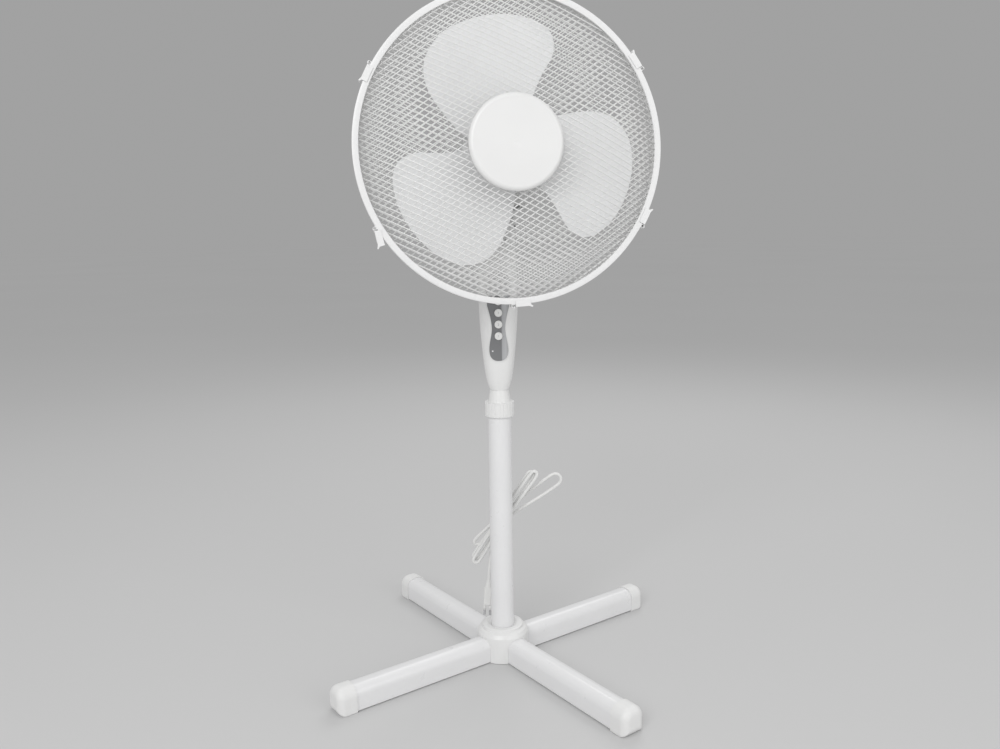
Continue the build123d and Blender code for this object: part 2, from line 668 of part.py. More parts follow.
with BuildPart() as control_panel:
    with BuildSketch(FRONT.offset(-PANEL_RECESS)):
        add(panel_outline())
        with Locations(*[(0, height) for height in BUTTON_HEIGHTS]):
            Circle(BUTTON_RADIUS + RUN, mode=Mode.SUBTRACT)
    extrude(amount=PANEL_THICKNESS)
save(control_panel.part, "control_panel")

PANEL_FACE = PANEL_THICKNESS - PANEL_RECESS
BUTTON_BACK = COLUMN_FACE + SWITCH_FRONT - BUTTON_TRAVEL - RUN
for name, height in zip(BUTTON_NAMES, BUTTON_HEIGHTS):
    with BuildPart() as button:
        with BuildSketch(FRONT.offset(PANEL_FACE + BUTTON_PROUD)):
            with Locations((0, height)):
                Circle(BUTTON_RADIUS)
        extrude(amount=-(PANEL_FACE + BUTTON_PROUD + BUTTON_BACK))
        fillet(button.edges().group_by(Axis.Y)[0], 0.8)
        with BuildSketch(FRONT.offset(-COLUMN_WALL - RUN)):
            with Locations((0, height)):
                Circle(BUTTON_RADIUS + BUTTON_FLANGE)
        extrude(amount=-BUTTON_FLANGE)
    save(button.part, name)

with BuildPart() as switch_block:
    with BuildSketch(Plane.XZ.offset(-SWITCH_FRONT)):
        with Locations((0, COLUMN_Z + SWITCH_BOTTOM)):
            Rectangle(SWITCH_WIDTH, SWITCH_TOP - SWITCH_BOTTOM, align=(Align.CENTER, Align.MIN))
    extrude(amount=-SWITCH_DEPTH)
save(switch_block.part, "switch_block")

with BuildPart() as cord_gland:
    with BuildSketch(GLAND.offset(-GLAND_ROOT)):
        Circle(GLAND_RADIUS)
    extrude(amount=GLAND_ROOT + 4.0)
    with BuildSketch(GLAND.offset(4.0)):
        Circle(GLAND_RADIUS)
    with BuildSketch(GLAND.offset(GLAND_LENGTH)):
        Circle(GLAND_TIP_RADIUS)
    loft(ruled=True)
save(cord_gland.part, "cord_gland")

# Tilt joint and neck
with BuildPart() as tilt_fasteners:
    with BuildSketch(Plane.YZ):
        with Locations((0, PIVOT_Z)):
            Circle(TILT_BOLT_RADIUS)
    extrude(amount=FORK_WIDTH / 2 + TILT_BOLT_HEAD + 1.0, both=True)
    for side in (-1, 1):
        with BuildSketch(Plane.YZ.offset(side * FORK_WIDTH / 2)):
            with Locations((0, PIVOT_Z)):
                RegularPolygon(TILT_BOLT_HEAD_RADIUS, 6)
        extrude(amount=side * TILT_BOLT_HEAD)
save(tilt_fasteners.part, "tilt_fasteners")

FLANGE_TOP = NECK_FLANGE_Z + NECK_FLANGE
SHOULDER_TOP = FLANGE_TOP + SPINDLE_SHOULDER
SPINDLE_TOP = SHOULDER_TOP + SPINDLE_LENGTH + RUN
LINK_PIN_TOP = FLANGE_TOP + LINK_LIFT + LINK_THICKNESS
with BuildPart() as neck:
    with BuildSketch(NECK_SIDE):
        Circle(FORK_RADIUS - 0.6)
        Rectangle(NECK_WIDTH, NECK_FLANGE_Z, align=(Align.CENTER, Align.MIN))
        Circle(TILT_BOLT_RADIUS + BEARING, mode=Mode.SUBTRACT)
    extrude(amount=FORK_GAP / 2 - RUN, both=True)
    with BuildSketch(NECK.offset(NECK_FLANGE_Z)):
        Circle(NECK_FLANGE_RADIUS)
    extrude(amount=NECK_FLANGE)
    with BuildSketch(NECK.offset(FLANGE_TOP)):
        Circle(SPINDLE_SHOULDER_RADIUS)
    extrude(amount=SPINDLE_SHOULDER)
    with BuildSketch(NECK.offset(SHOULDER_TOP)):
        Circle(SPINDLE_RADIUS)
    extrude(amount=SPINDLE_TOP - SHOULDER_TOP)
    with BuildSketch(NECK.offset(FLANGE_TOP)):
        with Locations((LINK_ARM, 0)):
            Circle(LINK_PIN_RADIUS)
    extrude(amount=LINK_PIN_TOP - FLANGE_TOP)
    with BuildSketch(NECK.offset(SPINDLE_TOP)):
        Circle(SCREW_RADIUS + FIT)
    extrude(amount=-12.0, mode=Mode.SUBTRACT)
save(neck.part, "neck")

WASHER_THICKNESS = 1.5
with BuildPart() as spindle_fasteners:
    with BuildSketch(NECK.offset(SPINDLE_TOP)):
        Circle(SPINDLE_RADIUS + 4.0)
    extrude(amount=WASHER_THICKNESS)
    with BuildSketch(NECK.offset(SPINDLE_TOP + WASHER_THICKNESS)):
        Circle(SCREW_HEAD_RADIUS)
    extrude(amount=SCREW_HEAD_HEIGHT)
    with BuildSketch(NECK.offset(SPINDLE_TOP)):
        Circle(SCREW_RADIUS)
    extrude(amount=-11.0)
save(spindle_fasteners.part, "spindle_fasteners")

# Head: bracket on the spindle, motor, gearbox and covers
BRACKET_TOP = SHOULDER_TOP + SPINDLE_LENGTH
STATOR_FRONT = STATOR_BACK + STATOR_LENGTH
FRONT_CUP = STATOR_FRONT + CUP_DEPTH          # back of the front bracket's disc
REAR_CUP = STATOR_BACK - CUP_DEPTH            # front of the rear bracket's disc
BOSS_FRONT = FRONT_CUP + CUP_WALL + FRONT_BOSS
BOSS_BACK = REAR_CUP - CUP_WALL - REAR_BOSS
PLATE_FRONT = FRONT_CUP + CUP_WALL
PLATE_BACK = REAR_CUP - CUP_WALL
with BuildPart() as swivel_bracket:
    with BuildSketch(HEAD.offset(SHOULDER_TOP)):
        Circle(BRACKET_RADIUS)
    extrude(amount=SPINDLE_LENGTH)
    with BuildSketch(HEAD.offset(BRACKET_TOP - PLATE_THICKNESS)):
        with Locations((0, -(PLATE_FRONT + PLATE_BACK) / 2)):
            Rectangle(PLATE_WIDTH, PLATE_FRONT - PLATE_BACK)
    extrude(amount=PLATE_THICKNESS)
    with BuildSketch(HEAD.offset(SHOULDER_TOP)):
        Circle(SPINDLE_RADIUS + BEARING)
    extrude(amount=SPINDLE_LENGTH, mode=Mode.SUBTRACT)
save(swivel_bracket.part, "swivel_bracket")

FOOT_DROP = FAN_HEIGHT - BRACKET_TOP
FOOT_HEIGHT = FOOT_DROP - CUP_RADIUS + CUP_RIM / 2
MOTOR_BOLTS = [turned(angle, MOTOR_BOLT_CIRCLE) for angle in (45, 135, 225, 315)]


def motor_bracket(disc, rim, boss, sense):
    """A cup on a foot: disc, rim towards the stator and a boss for the bearing."""
    back = disc + sense * CUP_WALL
    seat = boss - sense * BEARING_LENGTH
    boss_end = seat - sense * BOSS_FLOOR
    with BuildPart() as piece:
        add(
            turned_piece(
                (
                    (SHAFT_RADIUS + RUN, boss_end),
                    (BEARING_BOSS_RADIUS, boss_end),
                    (BEARING_BOSS_RADIUS, disc),
                    (CUP_RADIUS - CUP_RIM, disc),
                    (CUP_RADIUS - CUP_RIM, rim),
                    (CUP_RADIUS, rim),
                    (CUP_RADIUS, back),
                    (BEARING_BOSS_RADIUS, back),
                    (BEARING_BOSS_RADIUS, boss),
                    (BEARING_RADIUS + FIT, boss),
                    (BEARING_RADIUS + FIT, seat),
                    (SHAFT_RADIUS + RUN, seat),
                )
            )
        )
        with BuildSketch(FAN.offset(disc)):
            with Locations((0, -FOOT_DROP)):
                Rectangle(MOTOR_FOOT_WIDTH, FOOT_HEIGHT, align=(Align.CENTER, Align.MIN))
        extrude(amount=sense * CUP_WALL)
        with BuildSketch(FAN.offset(disc)):
            with Locations(*MOTOR_BOLTS):
                Circle(MOTOR_BOLT_RADIUS + FIT)
        extrude(amount=STATOR_LENGTH, both=True, mode=Mode.SUBTRACT)
    return piece.part


save(motor_bracket(FRONT_CUP, STATOR_FRONT, BOSS_FRONT, 1), "motor_front_bracket")
save(motor_bracket(REAR_CUP, STATOR_BACK, BOSS_BACK, -1), "motor_rear_bracket")

with BuildPart() as shaft_bearings:
    for start, sense in ((BOSS_FRONT, -1), (BOSS_BACK, 1)):
        with BuildSketch(FAN.offset(start)):
            Circle(BEARING_RADIUS)
            Circle(SHAFT_RADIUS + BEARING, mode=Mode.SUBTRACT)
        extrude(amount=sense * BEARING_LENGTH)
save(shaft_bearings.part, "shaft_bearings")

WINDING_LENGTH = CUP_DEPTH - 3.0
with BuildPart() as motor_stator:
    with BuildSketch(FAN.offset(STATOR_BACK)):
        Circle(STATOR_RADIUS)
        Circle(ROTOR_RADIUS + AIR_GAP, mode=Mode.SUBTRACT)
    extrude(amount=STATOR_LENGTH)
    with BuildSketch(FAN.offset(STATOR_BACK - WINDING_LENGTH)):
        Circle(STATOR_RADIUS - 6.0)
        Circle(ROTOR_RADIUS + 3.0, mode=Mode.SUBTRACT)
    extrude(amount=STATOR_LENGTH + 2 * WINDING_LENGTH)
save(motor_stator.part, "motor_stator")

with BuildPart() as motor_bolts:
    with BuildSketch(FAN.offset(PLATE_BACK)):
        with Locations(*MOTOR_BOLTS):
            Circle(MOTOR_BOLT_RADIUS)
    extrude(amount=PLATE_FRONT - PLATE_BACK)
    with BuildSketch(FAN.offset(PLATE_BACK)):
        with Locations(*MOTOR_BOLTS):
            Circle(SCREW_HEAD_RADIUS)
    extrude(amount=-SCREW_HEAD_HEIGHT)
save(motor_bolts.part, "motor_bolts")

SEAT_PLANE = BOSS_FRONT + COVER_FRONT_PLATE   # front face, where the rear guard sits
HOUSING_FRONT = BOSS_FRONT - 6.0
save(
    turned_piece(
        (
            (SHAFT_RADIUS + 2.0, BOSS_FRONT),
            (COVER_FRONT_RADIUS - 3.0, BOSS_FRONT),
            (COVER_FRONT_RADIUS - 3.0, HOUSING_FRONT + FIT),
            (COVER_FRONT_RADIUS, HOUSING_FRONT + FIT),
            (COVER_FRONT_RADIUS, SEAT_PLANE - 2.0),
            (COVER_FRONT_RADIUS - 2.0, SEAT_PLANE),
            (NOSE_RADIUS, SEAT_PLANE),
            (NOSE_RADIUS, SEAT_PLANE + NOSE_LENGTH),
            (SHAFT_RADIUS + 2.0, SEAT_PLANE + NOSE_LENGTH),
        )
    ),
    "motor_front_cover",
)


def housing_solid(shrink):
    """The rear housing's outside, or its inside when shrunk by the wall."""
    radius = HOUSING_RADIUS - shrink
    end = HOUSING_STRAIGHT - HOUSING_DOME + shrink
    with BuildPart() as piece:
        with BuildSketch(SECTION):
            with BuildLine():
                Polyline(
                    (radius, HOUSING_STRAIGHT),
                    (radius, HOUSING_FRONT),
                    (0, HOUSING_FRONT),
                    (0, end),
                    (HOUSING_FLAT, end),
                )
                TangentArc((radius, HOUSING_STRAIGHT), (HOUSING_FLAT, end), tangent=(0, -1))
            make_face()
        revolve(axis=FAN_AXIS)
        with BuildSketch(HEAD.offset(CHIN_BOTTOM)):
            with Locations((0, (CHIN_BACK - CHIN_FRONT) / 2)):
                RectangleRounded(
                    2 * (CHIN_HALF_WIDTH - shrink), CHIN_FRONT + CHIN_BACK - 2 * shrink, CHIN_ROUND - shrink
                )
        extrude(amount=FAN_HEIGHT - CHIN_BOTTOM - 20.0)
    return piece.part


CHIN_BOTTOM = SHOULDER_TOP + 0.2
WHEEL_SIDE = WORM_RADIUS + WHEEL_RADIUS + RUN
with BuildPart() as motor_rear_cover:
    add(housing_solid(0.0))
    add(housing_solid(HOUSING_WALL), mode=Mode.SUBTRACT)
    with BuildSketch(FAN.offset(HOUSING_STRAIGHT - HOUSING_DOME - 5.0)):
        with PolarLocations(VENT_CIRCLE, VENT_COUNT):
            SlotOverall(VENT_LENGTH, VENT_WIDTH)
    extrude(amount=30.0, mode=Mode.SUBTRACT)
    with BuildSketch(HEAD.offset(FAN_HEIGHT + GEARBOX_HALF_HEIGHT)):
        with Locations((WHEEL_SIDE, -WHEEL_BACK)):
            Circle(KNOB_STEM_RADIUS + RUN)
    extrude(amount=HOUSING_RADIUS, mode=Mode.SUBTRACT)
save(motor_rear_cover.part, "motor_rear_cover")

GEARBOX_LEFT = -WORM_RADIUS - GEARBOX_ROOM - GEARBOX_WALL
GEARBOX_WIDTH = WHEEL_SIDE + WHEEL_RADIUS + RUN + GEARBOX_WALL - GEARBOX_LEFT
GEARBOX_BACK = WHEEL_BACK - WHEEL_RADIUS - RUN - GEARBOX_WALL
with BuildPart() as gearbox:
    with BuildSketch(FAN.offset(GEARBOX_BACK)):
        with Locations((GEARBOX_LEFT, 0)):
            Rectangle(GEARBOX_WIDTH, 2 * GEARBOX_HALF_HEIGHT, align=(Align.MIN, Align.CENTER))
    extrude(amount=BOSS_BACK - GEARBOX_BACK)
    with BuildSketch(FAN.offset(GEARBOX_BACK + GEARBOX_WALL)):
        with Locations((GEARBOX_LEFT + GEARBOX_WALL, 0)):
            Rectangle(
                GEARBOX_WIDTH - 2 * GEARBOX_WALL,
                2 * (GEARBOX_HALF_HEIGHT - GEARBOX_WALL),
                align=(Align.MIN, Align.CENTER),
            )
    extrude(amount=BOSS_BACK - GEARBOX_BACK - 2 * GEARBOX_WALL, mode=Mode.SUBTRACT)
    with BuildSketch(FAN.offset(BOSS_BACK)):
        Circle(SHAFT_RADIUS + RUN)
    extrude(amount=-2 * GEARBOX_WALL, mode=Mode.SUBTRACT)
    with BuildSketch(HEAD.offset(FAN_HEIGHT)):
        with Locations((WHEEL_SIDE, -WHEEL_BACK)):
            Circle(CRANK_SPINDLE_RADIUS + BEARING)
    extrude(amount=-2 * GEARBOX_HALF_HEIGHT, mode=Mode.SUBTRACT)
save(gearbox.part, "gearbox")

# Oscillation drive: crank under the gearbox, link from the neck's pin towards the crank pin
CRANK_RADIUS = LINK_ARM * sin(radians(SWING_LIMIT))
CRANK_CENTRE = (WHEEL_SIDE, -WHEEL_BACK)
CRANK_DISC_Z = SHOULDER_TOP + 1.0
NECK_PIN = (LINK_ARM * cos(radians(SWING)), -LINK_ARM * sin(radians(SWING)))
LINK_LENGTH = hypot(CRANK_CENTRE[0] + CRANK_RADIUS - LINK_ARM, CRANK_CENTRE[1])
to_crank = (CRANK_CENTRE[0] - NECK_PIN[0], CRANK_CENTRE[1] - NECK_PIN[1])
spread = hypot(*to_crank)
between = acos((LINK_LENGTH**2 + spread**2 - CRANK_RADIUS**2) / (2 * LINK_LENGTH * spread))
LINK_DIRECTION = atan2(to_crank[1], to_crank[0]) - between
CRANK_PIN = (
    NECK_PIN[0] + LINK_LENGTH * cos(LINK_DIRECTION),
    NECK_PIN[1] + LINK_LENGTH * sin(LINK_DIRECTION),
)
with BuildPart() as crank:
    with BuildSketch(HEAD.offset(CRANK_DISC_Z)):
        with Locations(CRANK_CENTRE):
            Circle(CRANK_RADIUS + CRANK_MARGIN)
    extrude(amount=CRANK_DISC)
    with BuildSketch(HEAD.offset(CRANK_DISC_Z)):
        with Locations(CRANK_PIN):
            Circle(LINK_PIN_RADIUS)
    extrude(amount=-0.6)
    with BuildSketch(HEAD.offset(CRANK_DISC_Z)):
        with Locations(CRANK_CENTRE):
            Circle(CRANK_SPINDLE_RADIUS)
    extrude(amount=FAN_HEIGHT + WHEEL_THICKNESS - CRANK_DISC_Z)
    with BuildSketch(HEAD.offset(FAN_HEIGHT - WHEEL_THICKNESS / 2)):
        with Locations(CRANK_CENTRE):
            Circle(WHEEL_RADIUS)
    extrude(amount=WHEEL_THICKNESS)
save(crank.part, "crank")

with BuildPart() as oscillation_link:
    with BuildSketch(HEAD.offset(FLANGE_TOP + LINK_LIFT)):
        middle = ((NECK_PIN[0] + CRANK_PIN[0]) / 2, (NECK_PIN[1] + CRANK_PIN[1]) / 2)
        with Locations(middle):
            SlotCenterToCenter(LINK_LENGTH, LINK_WIDTH, rotation=degrees(LINK_DIRECTION))
        with Locations(NECK_PIN, CRANK_PIN):
            Circle(LINK_PIN_RADIUS + BEARING, mode=Mode.SUBTRACT)
    extrude(amount=LINK_THICKNESS - RUN)
save(oscillation_link.part, "oscillation_link")

KNOB = HEAD.offset(FAN_HEIGHT + KNOB_BOTTOM)
with BuildPart() as oscillation_knob:
    with BuildSketch(KNOB):
        with Locations(CRANK_CENTRE):
            Circle(KNOB_RADIUS)
    extrude(amount=KNOB_HEIGHT)
    fillet(oscillation_knob.edges().sort_by(Axis(KNOB.origin, KNOB.z_dir))[-1], 3.0)
    with BuildSketch(KNOB):
        with Locations(CRANK_CENTRE):
            Circle(KNOB_STEM_RADIUS)
    extrude(amount=-(KNOB_BOTTOM - GEARBOX_HALF_HEIGHT - RUN))
save(oscillation_knob.part, "oscillation_knob")

# Rotor, shaft with its worm, blade and spinner
with BuildPart() as motor_rotor:
    with BuildSketch(FAN.offset(STATOR_BACK)):
        Circle(ROTOR_RADIUS)
        Circle(SHAFT_RADIUS + FIT, mode=Mode.SUBTRACT)
    extrude(amount=STATOR_LENGTH)
save(motor_rotor.part, "motor_rotor")

SHAFT_FRONT = HUB_FRONT + SPINNER_LENGTH - 4.0
with BuildPart() as motor_shaft:
    with BuildSketch(FAN.offset(SHAFT_BACK)):
        Circle(SHAFT_RADIUS)
    extrude(amount=SHAFT_FRONT - SHAFT_BACK)
    with BuildSketch(FAN.offset(WHEEL_BACK - WORM_LENGTH / 2)):
        Circle(WORM_RADIUS)
    extrude(amount=WORM_LENGTH)
save(motor_shaft.part, "motor_shaft")

with BuildPart() as petal_sheet:
    for step in range(-4, 5):
        lean = step * 15.0
        spoke = spun(FAN, BLADE_TURN + lean)
        lift = BLADE_PLANE - BLADE_RISE * radians(lean)
        root = spoke.from_local_coords((0, 0, lift))
        with BuildSketch(Plane(origin=root, x_dir=spoke.x_dir, z_dir=-spoke.y_dir)):
            with Locations((HUB_RADIUS - 14.0, 0)):
                Rectangle(RING_RADIUS - HUB_RADIUS, BLADE_THICKNESS, align=(Align.MIN, Align.CENTER))
    loft()
    with BuildSketch(FAN):
        with BuildLine():
            petal_points = [Vector(r, 0, 0).rotate(Axis.Z, BLADE_TURN + angle) for r, angle in PETAL]
            petal_edge = Spline(*petal_points)
            Line(petal_edge @ 1, petal_edge @ 0)
        make_face()
    extrude(amount=RING_PLANE + RING_RADIUS, mode=Mode.INTERSECT)

with BuildPart() as fan_blade:
    with BuildSketch(SECTION):
        with BuildLine():
            Polyline(
                (SHAFT_RADIUS + FIT, HUB_BACK + 8.0),
                (12.0, HUB_BACK + 8.0),
                (12.0, HUB_FRONT - 8.0),
                (HUB_RADIUS - 4.0, HUB_FRONT - 12.0),
                (HUB_RADIUS - 3.0, HUB_BACK),
                (HUB_RADIUS, HUB_BACK),
                (HUB_RADIUS, HUB_FRONT - 12.0),
                (HUB_RADIUS - 12.0, HUB_FRONT - 2.0),
                (SPINNER_RADIUS + 2.0, HUB_FRONT),
                (SHAFT_RADIUS + FIT, HUB_FRONT),
                close=True,
            )
        make_face()
    revolve(axis=FAN_AXIS)
    for step in range(BLADE_COUNT):
        add(petal_sheet.part.rotate(FAN_AXIS, 360 / BLADE_COUNT * step))
    with BuildSketch(FAN.offset(HUB_BACK)):
        Circle(SHAFT_RADIUS + FIT)
    extrude(amount=HUB_FRONT - HUB_BACK, mode=Mode.SUBTRACT)
save(fan_blade.part, "fan_blade")

save(
    turned_piece(
        (
            (SHAFT_RADIUS + FIT, HUB_FRONT),
            (SPINNER_RADIUS, HUB_FRONT),
            (SPINNER_RADIUS - 1.0, HUB_FRONT + SPINNER_LENGTH - 4.0),
            (SPINNER_RADIUS - 5.0, HUB_FRONT + SPINNER_LENGTH),
            (0, HUB_FRONT + SPINNER_LENGTH),
            (0, SHAFT_FRONT + FIT),
            (SHAFT_RADIUS + FIT, SHAFT_FRONT + FIT),
        )
    ),
    "blade_spinner",
)

# Guards: two families of wires on concentric domes, a rim wire each, and the ring that joins the rims
RIM_RADIUS = RING_RADIUS - RING_BAND + RIM_WIRE
WIRE_REACH = RIM_RADIUS - RIM_WIRE - RUN
LAYER = 2 * GUARD_WIRE + WIRE_GAP


def guard_wires(rim_plane, depth, sense, opening):
    """Mesh wires of one guard, each a circular arc across its dome, none inside the opening radius."""
    dome = (WIRE_REACH**2 + depth**2) / (2 * depth)
    centre = rim_plane + sense * (depth - dome)
    widest = WIRE_REACH * WIRE_TRIM
    rows = int(widest / GUARD_PITCH)
    wires = []
    for family, angle in enumerate(WIRE_ANGLES):
        radius = dome + (family - 0.5) * LAYER
        frame = spun(FAN, angle)
        for row in range(-rows, rows + 1):
            offset_across = (row + 0.5 * family) * GUARD_PITCH
            if abs(offset_across) > widest:
                continue
            bend = sqrt(radius**2 - offset_across**2)
            far = asin(sqrt(WIRE_REACH**2 - offset_across**2) / bend)
            near = 0.0
            if abs(offset_across) < opening:
                near = asin(sqrt(opening**2 - offset_across**2) / bend)
            spans = ((near, far), (-far, -near)) if near else ((-far, far),)
            middle = frame.from_local_coords((0, offset_across, centre))
            hub = Axis(middle, sense * frame.y_dir)
            for start, end in spans:
                outwards = frame.x_dir * sin(start) + frame.z_dir * (sense * cos(start))
                section = Plane(
                    origin=middle + outwards * bend,
                    x_dir=frame.y_dir,
                    z_dir=outwards.cross(frame.y_dir),
                )
                with BuildSketch(section, mode=Mode.PRIVATE) as wire_section:
                    RegularPolygon(GUARD_WIRE, WIRE_SIDES)
                wires.append(Solid.revolve(wire_section.sketch.face(), degrees(end - start), hub))
    return wires


def rim_wire(plane):
    """A guard's rim: a wire bent round into a full ring."""
    with BuildPart() as piece:
        with BuildSketch(SECTION):
            with Locations((RIM_RADIUS, plane)):
                Circle(RIM_WIRE)
        revolve(axis=FAN_AXIS)
    return piece.part.solid()


FRONT_RIM = RING_PLANE + RIM_SPACING / 2
REAR_RIM = RING_PLANE - RIM_SPACING / 2
save(Compound(guard_wires(FRONT_RIM, FRONT_DEPTH, 1, 0.0) + [rim_wire(FRONT_RIM)]), "front_guard")

REAR_DOME = (WIRE_REACH**2 + REAR_DEPTH**2) / (2 * REAR_DEPTH)
SEAT_EDGE = REAR_RIM - REAR_DEPTH + REAR_DOME - sqrt(REAR_DOME**2 - SEAT_RIM**2)
seat_plate = turned_piece(
    (
        (NOSE_RADIUS + FIT, SEAT_PLANE),
        (SEAT_RADIUS, SEAT_PLANE),
        (SEAT_RIM, SEAT_EDGE - SEAT_THICKNESS),
        (SEAT_RIM, SEAT_EDGE + SEAT_THICKNESS),
        (SEAT_RADIUS, SEAT_PLANE + SEAT_THICKNESS),
        (NOSE_RADIUS + FIT, SEAT_PLANE + SEAT_THICKNESS),
    )
)
rear_pieces = guard_wires(REAR_RIM, REAR_DEPTH, -1, SEAT_RIM + RUN)
save(Compound(rear_pieces + [rim_wire(REAR_RIM), seat_plate.solid()]), "rear_guard")

with BuildPart() as guard_nut:
    with BuildSketch(FAN.offset(SEAT_PLANE + SEAT_THICKNESS)):
        Circle(GUARD_NUT_RADIUS)
        with PolarLocations(GUARD_NUT_RADIUS + 1.0, 12):
            Circle(3.0, mode=Mode.SUBTRACT)
        Circle(NOSE_RADIUS + FIT, mode=Mode.SUBTRACT)
    extrude(amount=GUARD_NUT_HEIGHT)
save(guard_nut.part, "guard_nut")

# Ring: a channel open inwards, with a pair of lugs for each clip
RING_BACK = RING_PLANE - RING_WIDTH / 2
RING_FRONT = RING_PLANE + RING_WIDTH / 2
RING_INSIDE = RING_RADIUS - RING_BAND
CLIP_HINGE_RADIUS = RING_RADIUS + CLIP_PIN_RADIUS + 1.0
LUG_WIDTH = 2.5
LUG_RADIUS = CLIP_PIN_RADIUS + 1.0
CLIP_HINGES = [CLIP_FIRST + 360 / CLIP_COUNT * i for i in range(CLIP_COUNT)]
with BuildPart() as guard_ring:
    add(
        turned_piece(
            (
                (RING_INSIDE, RING_BACK),
                (RING_RADIUS, RING_BACK),
                (RING_RADIUS, RING_FRONT),
                (RING_INSIDE, RING_FRONT),
                (RING_INSIDE, RING_FRONT - RING_WALL),
                (RING_RADIUS - RING_WALL, RING_FRONT - RING_WALL),
                (RING_RADIUS - RING_WALL, RING_BACK + RING_WALL),
                (RING_INSIDE, RING_BACK + RING_WALL),
            )
        )
    )
    for start in (RING_BACK, RING_FRONT - LUG_WIDTH):
        with BuildSketch(FAN.offset(start)):
            with PolarLocations(CLIP_HINGE_RADIUS, CLIP_COUNT, start_angle=CLIP_FIRST):
                Circle(LUG_RADIUS)
                with Locations((-LUG_RADIUS / 2, 0)):
                    Rectangle(LUG_RADIUS + 1.0, 2 * LUG_RADIUS)
            with PolarLocations(CLIP_HINGE_RADIUS, CLIP_COUNT, start_angle=CLIP_FIRST):
                Circle(CLIP_PIN_RADIUS + BEARING, mode=Mode.SUBTRACT)
        extrude(amount=LUG_WIDTH)
save(guard_ring.part, "guard_ring")

CLIP_INSIDE = RING_RADIUS + RUN
CLIP_OUTSIDE = CLIP_INSIDE + CLIP_THICKNESS
CLIP_BACK = RING_BACK + LUG_WIDTH + RUN
CLIP_FACE = RING_FRONT + RUN
for index, hinge in enumerate(CLIP_HINGES):
    start = hinge + degrees(LUG_RADIUS / CLIP_HINGE_RADIUS) + 0.2
    end = hinge + CLIP_SPAN
    hinge_point = (CLIP_HINGE_RADIUS * cos(radians(hinge)), CLIP_HINGE_RADIUS * sin(radians(hinge)))
    with BuildPart() as clip:
        with BuildSketch(FAN.offset(CLIP_BACK)):
            with BuildLine():
                inner = CenterArc((0, 0), CLIP_INSIDE, start, end - start)
                outer = CenterArc((0, 0), CLIP_OUTSIDE, start, end - start)
                Line(inner @ 0, outer @ 0)
                Line(inner @ 1, outer @ 1)
            make_face()
        extrude(amount=CLIP_FACE + 1.2 - CLIP_BACK)
        with BuildSketch(FAN.offset(CLIP_FACE)):
            with BuildLine():
                lip_inner = CenterArc((0, 0), CLIP_OUTSIDE - CLIP_LIP - CLIP_THICKNESS, start, end - start)
                lip_outer = CenterArc((0, 0), CLIP_OUTSIDE, start, end - start)
                Line(lip_inner @ 0, lip_outer @ 0)
                Line(lip_inner @ 1, lip_outer @ 1)
            make_face()
        extrude(amount=1.2)
        # Hinge barrel between the lugs, joined to the lever, with its pin
        with BuildSketch(FAN.offset(CLIP_BACK)):
            with Locations(hinge_point):
                Circle(CLIP_PIN_RADIUS + 0.9)
            with BuildLine():
                Polyline(
                    Vector(CLIP_HINGE_RADIUS - 1.6, 0).rotate(Axis.Z, hinge),
                    Vector(CLIP_HINGE_RADIUS - 1.6, 0).rotate(Axis.Z, start + 0.3),
                    Vector(CLIP_HINGE_RADIUS + 1.4, 0).rotate(Axis.Z, start + 0.3),
                    Vector(CLIP_HINGE_RADIUS + 1.4, 0).rotate(Axis.Z, hinge),
                    close=True,
                )
            make_face()
        extrude(amount=RING_FRONT - LUG_WIDTH - RUN - CLIP_BACK)
        with BuildSketch(FAN.offset(RING_BACK)):
            with Locations(hinge_point):
                Circle(CLIP_PIN_RADIUS)
        extrude(amount=RING_WIDTH)
        # Finger tab at the free end
        with BuildSketch(FAN.offset(CLIP_BACK)):
            with BuildLine():
                Polyline(
                    Vector(CLIP_OUTSIDE - 1.0, 0).rotate(Axis.Z, end - 1.4),
                    Vector(CLIP_OUTSIDE + 2.2, 0).rotate(Axis.Z, end + 0.5),
                    Vector(CLIP_OUTSIDE + 0.6, 0).rotate(Axis.Z, end + 0.7),
                    Vector(CLIP_INSIDE + 0.4, 0).rotate(Axis.Z, end - 0.3),
                    close=True,
                )
            make_face()
        extrude(amount=CLIP_FACE + 1.2 - CLIP_BACK)
    clip_hinge = Axis(FAN.from_local_coords((*hinge_point, 0)), FAN.z_dir)
    opened = -CLIP_OPEN if index == CLIP_OPEN_INDEX else 0.0
    save(clip.part.rotate(clip_hinge, opened), f"guard_clip_{index + 1}")

# Round badge on the front guard, bare
WIRE_TOP = FRONT_RIM + FRONT_DEPTH + LAYER / 2 + GUARD_WIRE + RUN
BADGE_FACE = RING_PLANE + BADGE_FRONT
with BuildPart() as front_badge:
    with BuildSketch(SECTION):
        with BuildLine():
            Polyline(
                (0, BADGE_FACE),
                (0, WIRE_TOP),
                (BADGE_RADIUS - 2.5, WIRE_TOP),
                (BADGE_RADIUS - 2.5, WIRE_TOP - 2.0),
                (BADGE_RADIUS, WIRE_TOP - 2.0),
                (BADGE_RADIUS, BADGE_FACE - BADGE_EDGE),
            )
            ThreePointArc(
                (BADGE_RADIUS, BADGE_FACE - BADGE_EDGE),
                (BADGE_RADIUS - 2.0, BADGE_FACE - 0.45 * BADGE_EDGE),
                (BADGE_RADIUS - 7.0, BADGE_FACE - 0.2 * BADGE_EDGE),
            )
            Line((BADGE_RADIUS - 7.0, BADGE_FACE - 0.2 * BADGE_EDGE), (0, BADGE_FACE))
        make_face()
    revolve(axis=FAN_AXIS)
save(front_badge.part, "front_badge")

# Mains cord: down from the gland, three loops of a hank tied behind the pole, and a tail to the plug
GLAND_END = GLAND.from_local_coords((0, 0, GLAND_LENGTH))
